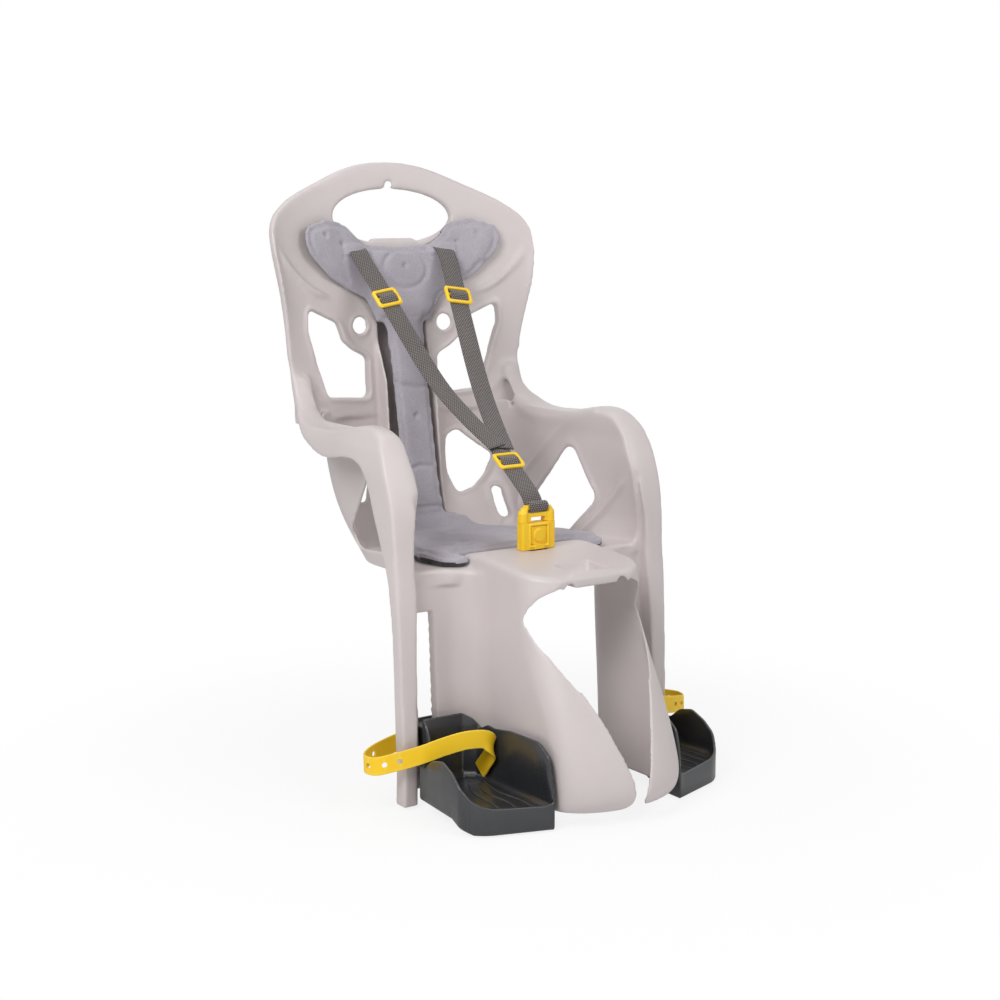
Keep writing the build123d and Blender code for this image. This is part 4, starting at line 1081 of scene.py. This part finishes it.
def footrest_shape(side):
    """Bowl for a foot: floor, high inner wall, outer wall swept down to the front, round rim."""
    outline = foot_outline()
    along = np.roll(outline, -3, axis=0) - np.roll(outline, 3, axis=0)
    inward = np.stack([-along[:, 1], along[:, 0]], axis=1) / np.linalg.norm(along, axis=1)[:, None]
    middle = outline.mean(axis=0)
    if np.sum((middle - outline) * inward) < 0:
        inward = -inward
    x, y = outline.T
    share = ramp(x, *INNER_WALL_END)
    top = (1 - share) * np.interp(y, *INNER_TOP) + share * np.interp(y, *OUTER_TOP)
    around = TOP_SOFTNESS // 2
    window = np.ones(TOP_SOFTNESS) / TOP_SOFTNESS
    top = np.convolve(np.concatenate([top[-around:], top, top[:around]]), window, "valid")
    foot = np.interp(y, *SKIRT)
    rise = np.minimum(FLOOR_RISE[1], np.maximum(FLOOR_RISE[0], (top - FLOOR) * RISE_SHARE))
    level = np.full(len(outline), FLOOR)
    # Each ring's inset and heights: up the outside, over the rim, down the inside to the floor, then beneath
    rings = [(3.0, foot), (0.8, foot + 0.8), (0.0, foot + 3.0), (0.0, top - 1.6), (0.5, top - 0.4),
             (1.75, top), (3.0, top - 0.4), (3.5, top - 1.4), (3.6, FLOOR + rise),
             (4.6, FLOOR + rise * 0.55), (7.0, FLOOR + rise * 0.2), (11.0, level),
             (3.5, np.minimum(foot + 1.0, FLOOR - 3)), (4.0, level - FOOT_WALL)]
    shape = bmesh.new()
    loops = [[shape.verts.new(mm(side * a, b, c)) for (a, b), c in zip(outline + inward * inset, height)]
             for inset, height in rings]
    *loops, under, plate = loops
    bridge(shape, *loops)
    bridge(shape, under, loops[0])
    bridge(shape, plate, under)
    for ring in (loops[-1], plate):
        edges = [shape.edges.get((a, b)) for a, b in zip(ring, ring[1:] + ring[:1])]
        bmesh.ops.triangle_fill(shape, edges=edges, use_beauty=True)
    bmesh.ops.recalc_face_normals(shape, faces=shape.faces)
    return as_mesh(shape, "footrest")


def shade_by_angle(mesh):
    """Smooth shading that keeps the sharp edges sharp."""
    shade_smooth(mesh)
    shape = bmesh.new()
    shape.from_mesh(mesh)
    for edge in shape.edges:
        edge.smooth = len(edge.link_faces) == 2 and edge.calc_face_angle(0) < SHARP_ANGLE
    shape.to_mesh(mesh)
    shape.free()


def punch_holes(strap, path):
    """Cuts the row of round holes for the stud through a foot strap."""
    frames = strap_frames(path, FOOT_STRAP_ACROSS)
    pins = bmesh.new()
    for share in STRAP_HOLES:
        point, wide, up, along = frames[int(share * (len(frames) - 1))]
        turn = Matrix((along, wide, up)).transposed().to_4x4()
        bmesh.ops.create_cone(pins, cap_ends=True, segments=20, radius1=0.0032, radius2=0.0032, depth=0.012,
                              matrix=Matrix.Translation(point) @ turn)
    cutter = new_object("strap_holes", as_mesh(pins, "strap_holes"))
    cut = strap.modifiers.new("holes", "BOOLEAN")
    cut.object = cutter
    cut.solver = "EXACT"
    apply_modifiers(strap)
    bpy.data.objects.remove(cutter)
    shade_by_angle(strap.data)


def make_footrest(side, name):
    """Footrest bowl with swirled floor ribs, its latch, and the rubber strap with its holes."""
    body = f"footrest_assembly_{name}"
    ribs = []
    for rib in FOOT_RIBS:
        path = even_path([mm(x, y, FLOOR) for x, y in rib], RIB_STEP)
        ribs.append(([Vector((side * p.x, p.y, p.z)) for p in path], False))
    shape = bmesh.new()
    for mesh in (footrest_shape(side), bars(ribs, 1.5 * MM, CHARCOAL, sides=8, ends=0.3)):
        shape.from_mesh(mesh)
    bowl = new_piece(f"footrest_bowl_{name}", shape, CHARCOAL)
    settle(bowl, body, "charcoal_plastic", f"footrest_{name}")
    soft_node(f"footrest_latch_{name}", body, "black_plastic", BLACK, voxel=0.001, rounds=3, most=20000)
    path = even_path(mirrored(FOOT_STRAP_ROUTE, side), step=0.002)
    strap = ribbon(f"foot_band_{name}", path, FOOT_STRAP_ACROSS, FOOT_STRAP_WIDTH * MM,
                   FOOT_STRAP_THICKNESS * MM, RUBBER)
    punch_holes(strap, path)
    settle(strap, body, "yellow_rubber", f"foot_strap_{name}")


make_footrest(-1, "left")
make_footrest(1, "right")


# Small parts that keep their solids' shapes
for node, finish in (("strap_bar_left", STEEL), ("strap_bar_right", STEEL), ("buckle_spring", STEEL),
                     ("buckle_anchor", BLACK), ("strap_stud_left", BLACK), ("strap_stud_right", BLACK)):
    paint(solid_of(node), finish)


# Floor, background and light
FLOOR_HALF = 6.0
MIDDLE = (0.0, 0.0, 0.4)


def lay_floor():
    """Pale floor that takes the seat's shadow and glows white to the camera further out."""
    corners = [(a * FLOOR_HALF, b * FLOOR_HALF, 0) for a, b in ((-1, -1), (1, -1), (1, 1), (-1, 1))]
    mesh = bpy.data.meshes.new("floor")
    mesh.from_pydata(corners, [], [(0, 1, 2, 3)])
    floor = new_object("floor", mesh)
    material, tree, shader = new_material("floor_white")
    feed(tree, shader, {"Base Color": (0.97, 0.97, 0.97), "Roughness": 0.9})
    reach = new_node(tree, "ShaderNodeVectorMath", {0: object_place(tree)})
    reach.operation = "LENGTH"
    away = new_node(tree, "ShaderNodeMapRange", {
        "Value": reach.outputs["Value"], "From Min": 0.25, "From Max": 0.75, "To Min": 0.85, "To Max": 1.0})
    away.interpolation_type = "SMOOTHSTEP"
    seen = tree.nodes.new("ShaderNodeLightPath").outputs["Is Camera Ray"]
    glow = tree.nodes.new("ShaderNodeEmission")
    mixed = new_node(tree, "ShaderNodeMixShader", {
        "Fac": math_node(tree, "MULTIPLY", seen, away.outputs["Result"]),
        1: shader.outputs["BSDF"], 2: glow.outputs["Emission"]})
    feed(tree, tree.nodes["Material Output"], {"Surface": mixed.outputs["Shader"]})
    mesh.materials.append(material)
    floor.location.z = -0.0015


def light_world():
    """White studio round the seat: full white for the camera, softer on the seat."""
    world = bpy.data.worlds.new("studio")
    bpy.context.scene.world = world
    world.use_nodes = True
    tree = world.node_tree
    tree.nodes.clear()
    path = tree.nodes.new("ShaderNodeLightPath").outputs
    seen = math_node(tree, "MAXIMUM", path["Is Camera Ray"], path["Is Glossy Ray"])
    seen = math_node(tree, "MAXIMUM", seen, path["Is Transmission Ray"])
    plain, white = (new_node(tree, "ShaderNodeBackground", {"Color": (1, 1, 1), "Strength": strength})
                    for strength in (0.26, 1.0))
    mixed = new_node(tree, "ShaderNodeMixShader", {
        "Fac": seen, 1: plain.outputs["Background"], 2: white.outputs["Background"]})
    new_node(tree, "ShaderNodeOutputWorld", {"Surface": mixed.outputs["Shader"]})


def hang_lamp(name, place, size, power):
    """A square soft box aimed at the seat's middle."""
    data = bpy.data.lights.new(name, "AREA")
    data.shape = "SQUARE"
    data.size = size
    data.energy = power
    lamp = new_object(name, data)
    lamp.location = place
    lamp.rotation_mode = "QUATERNION"
    lamp.rotation_quaternion = (Vector(MIDDLE) - Vector(place)).to_track_quat("-Z", "Y")


lay_floor()
light_world()
hang_lamp("key", (-1.5, -0.75, 1.5), size=0.9, power=23.0)
hang_lamp("fill", (0.8, -1.9, 1.8), size=1.2, power=16.0)
hang_lamp("top", (0.2, 0.4, 2.6), size=1.4, power=10.0)
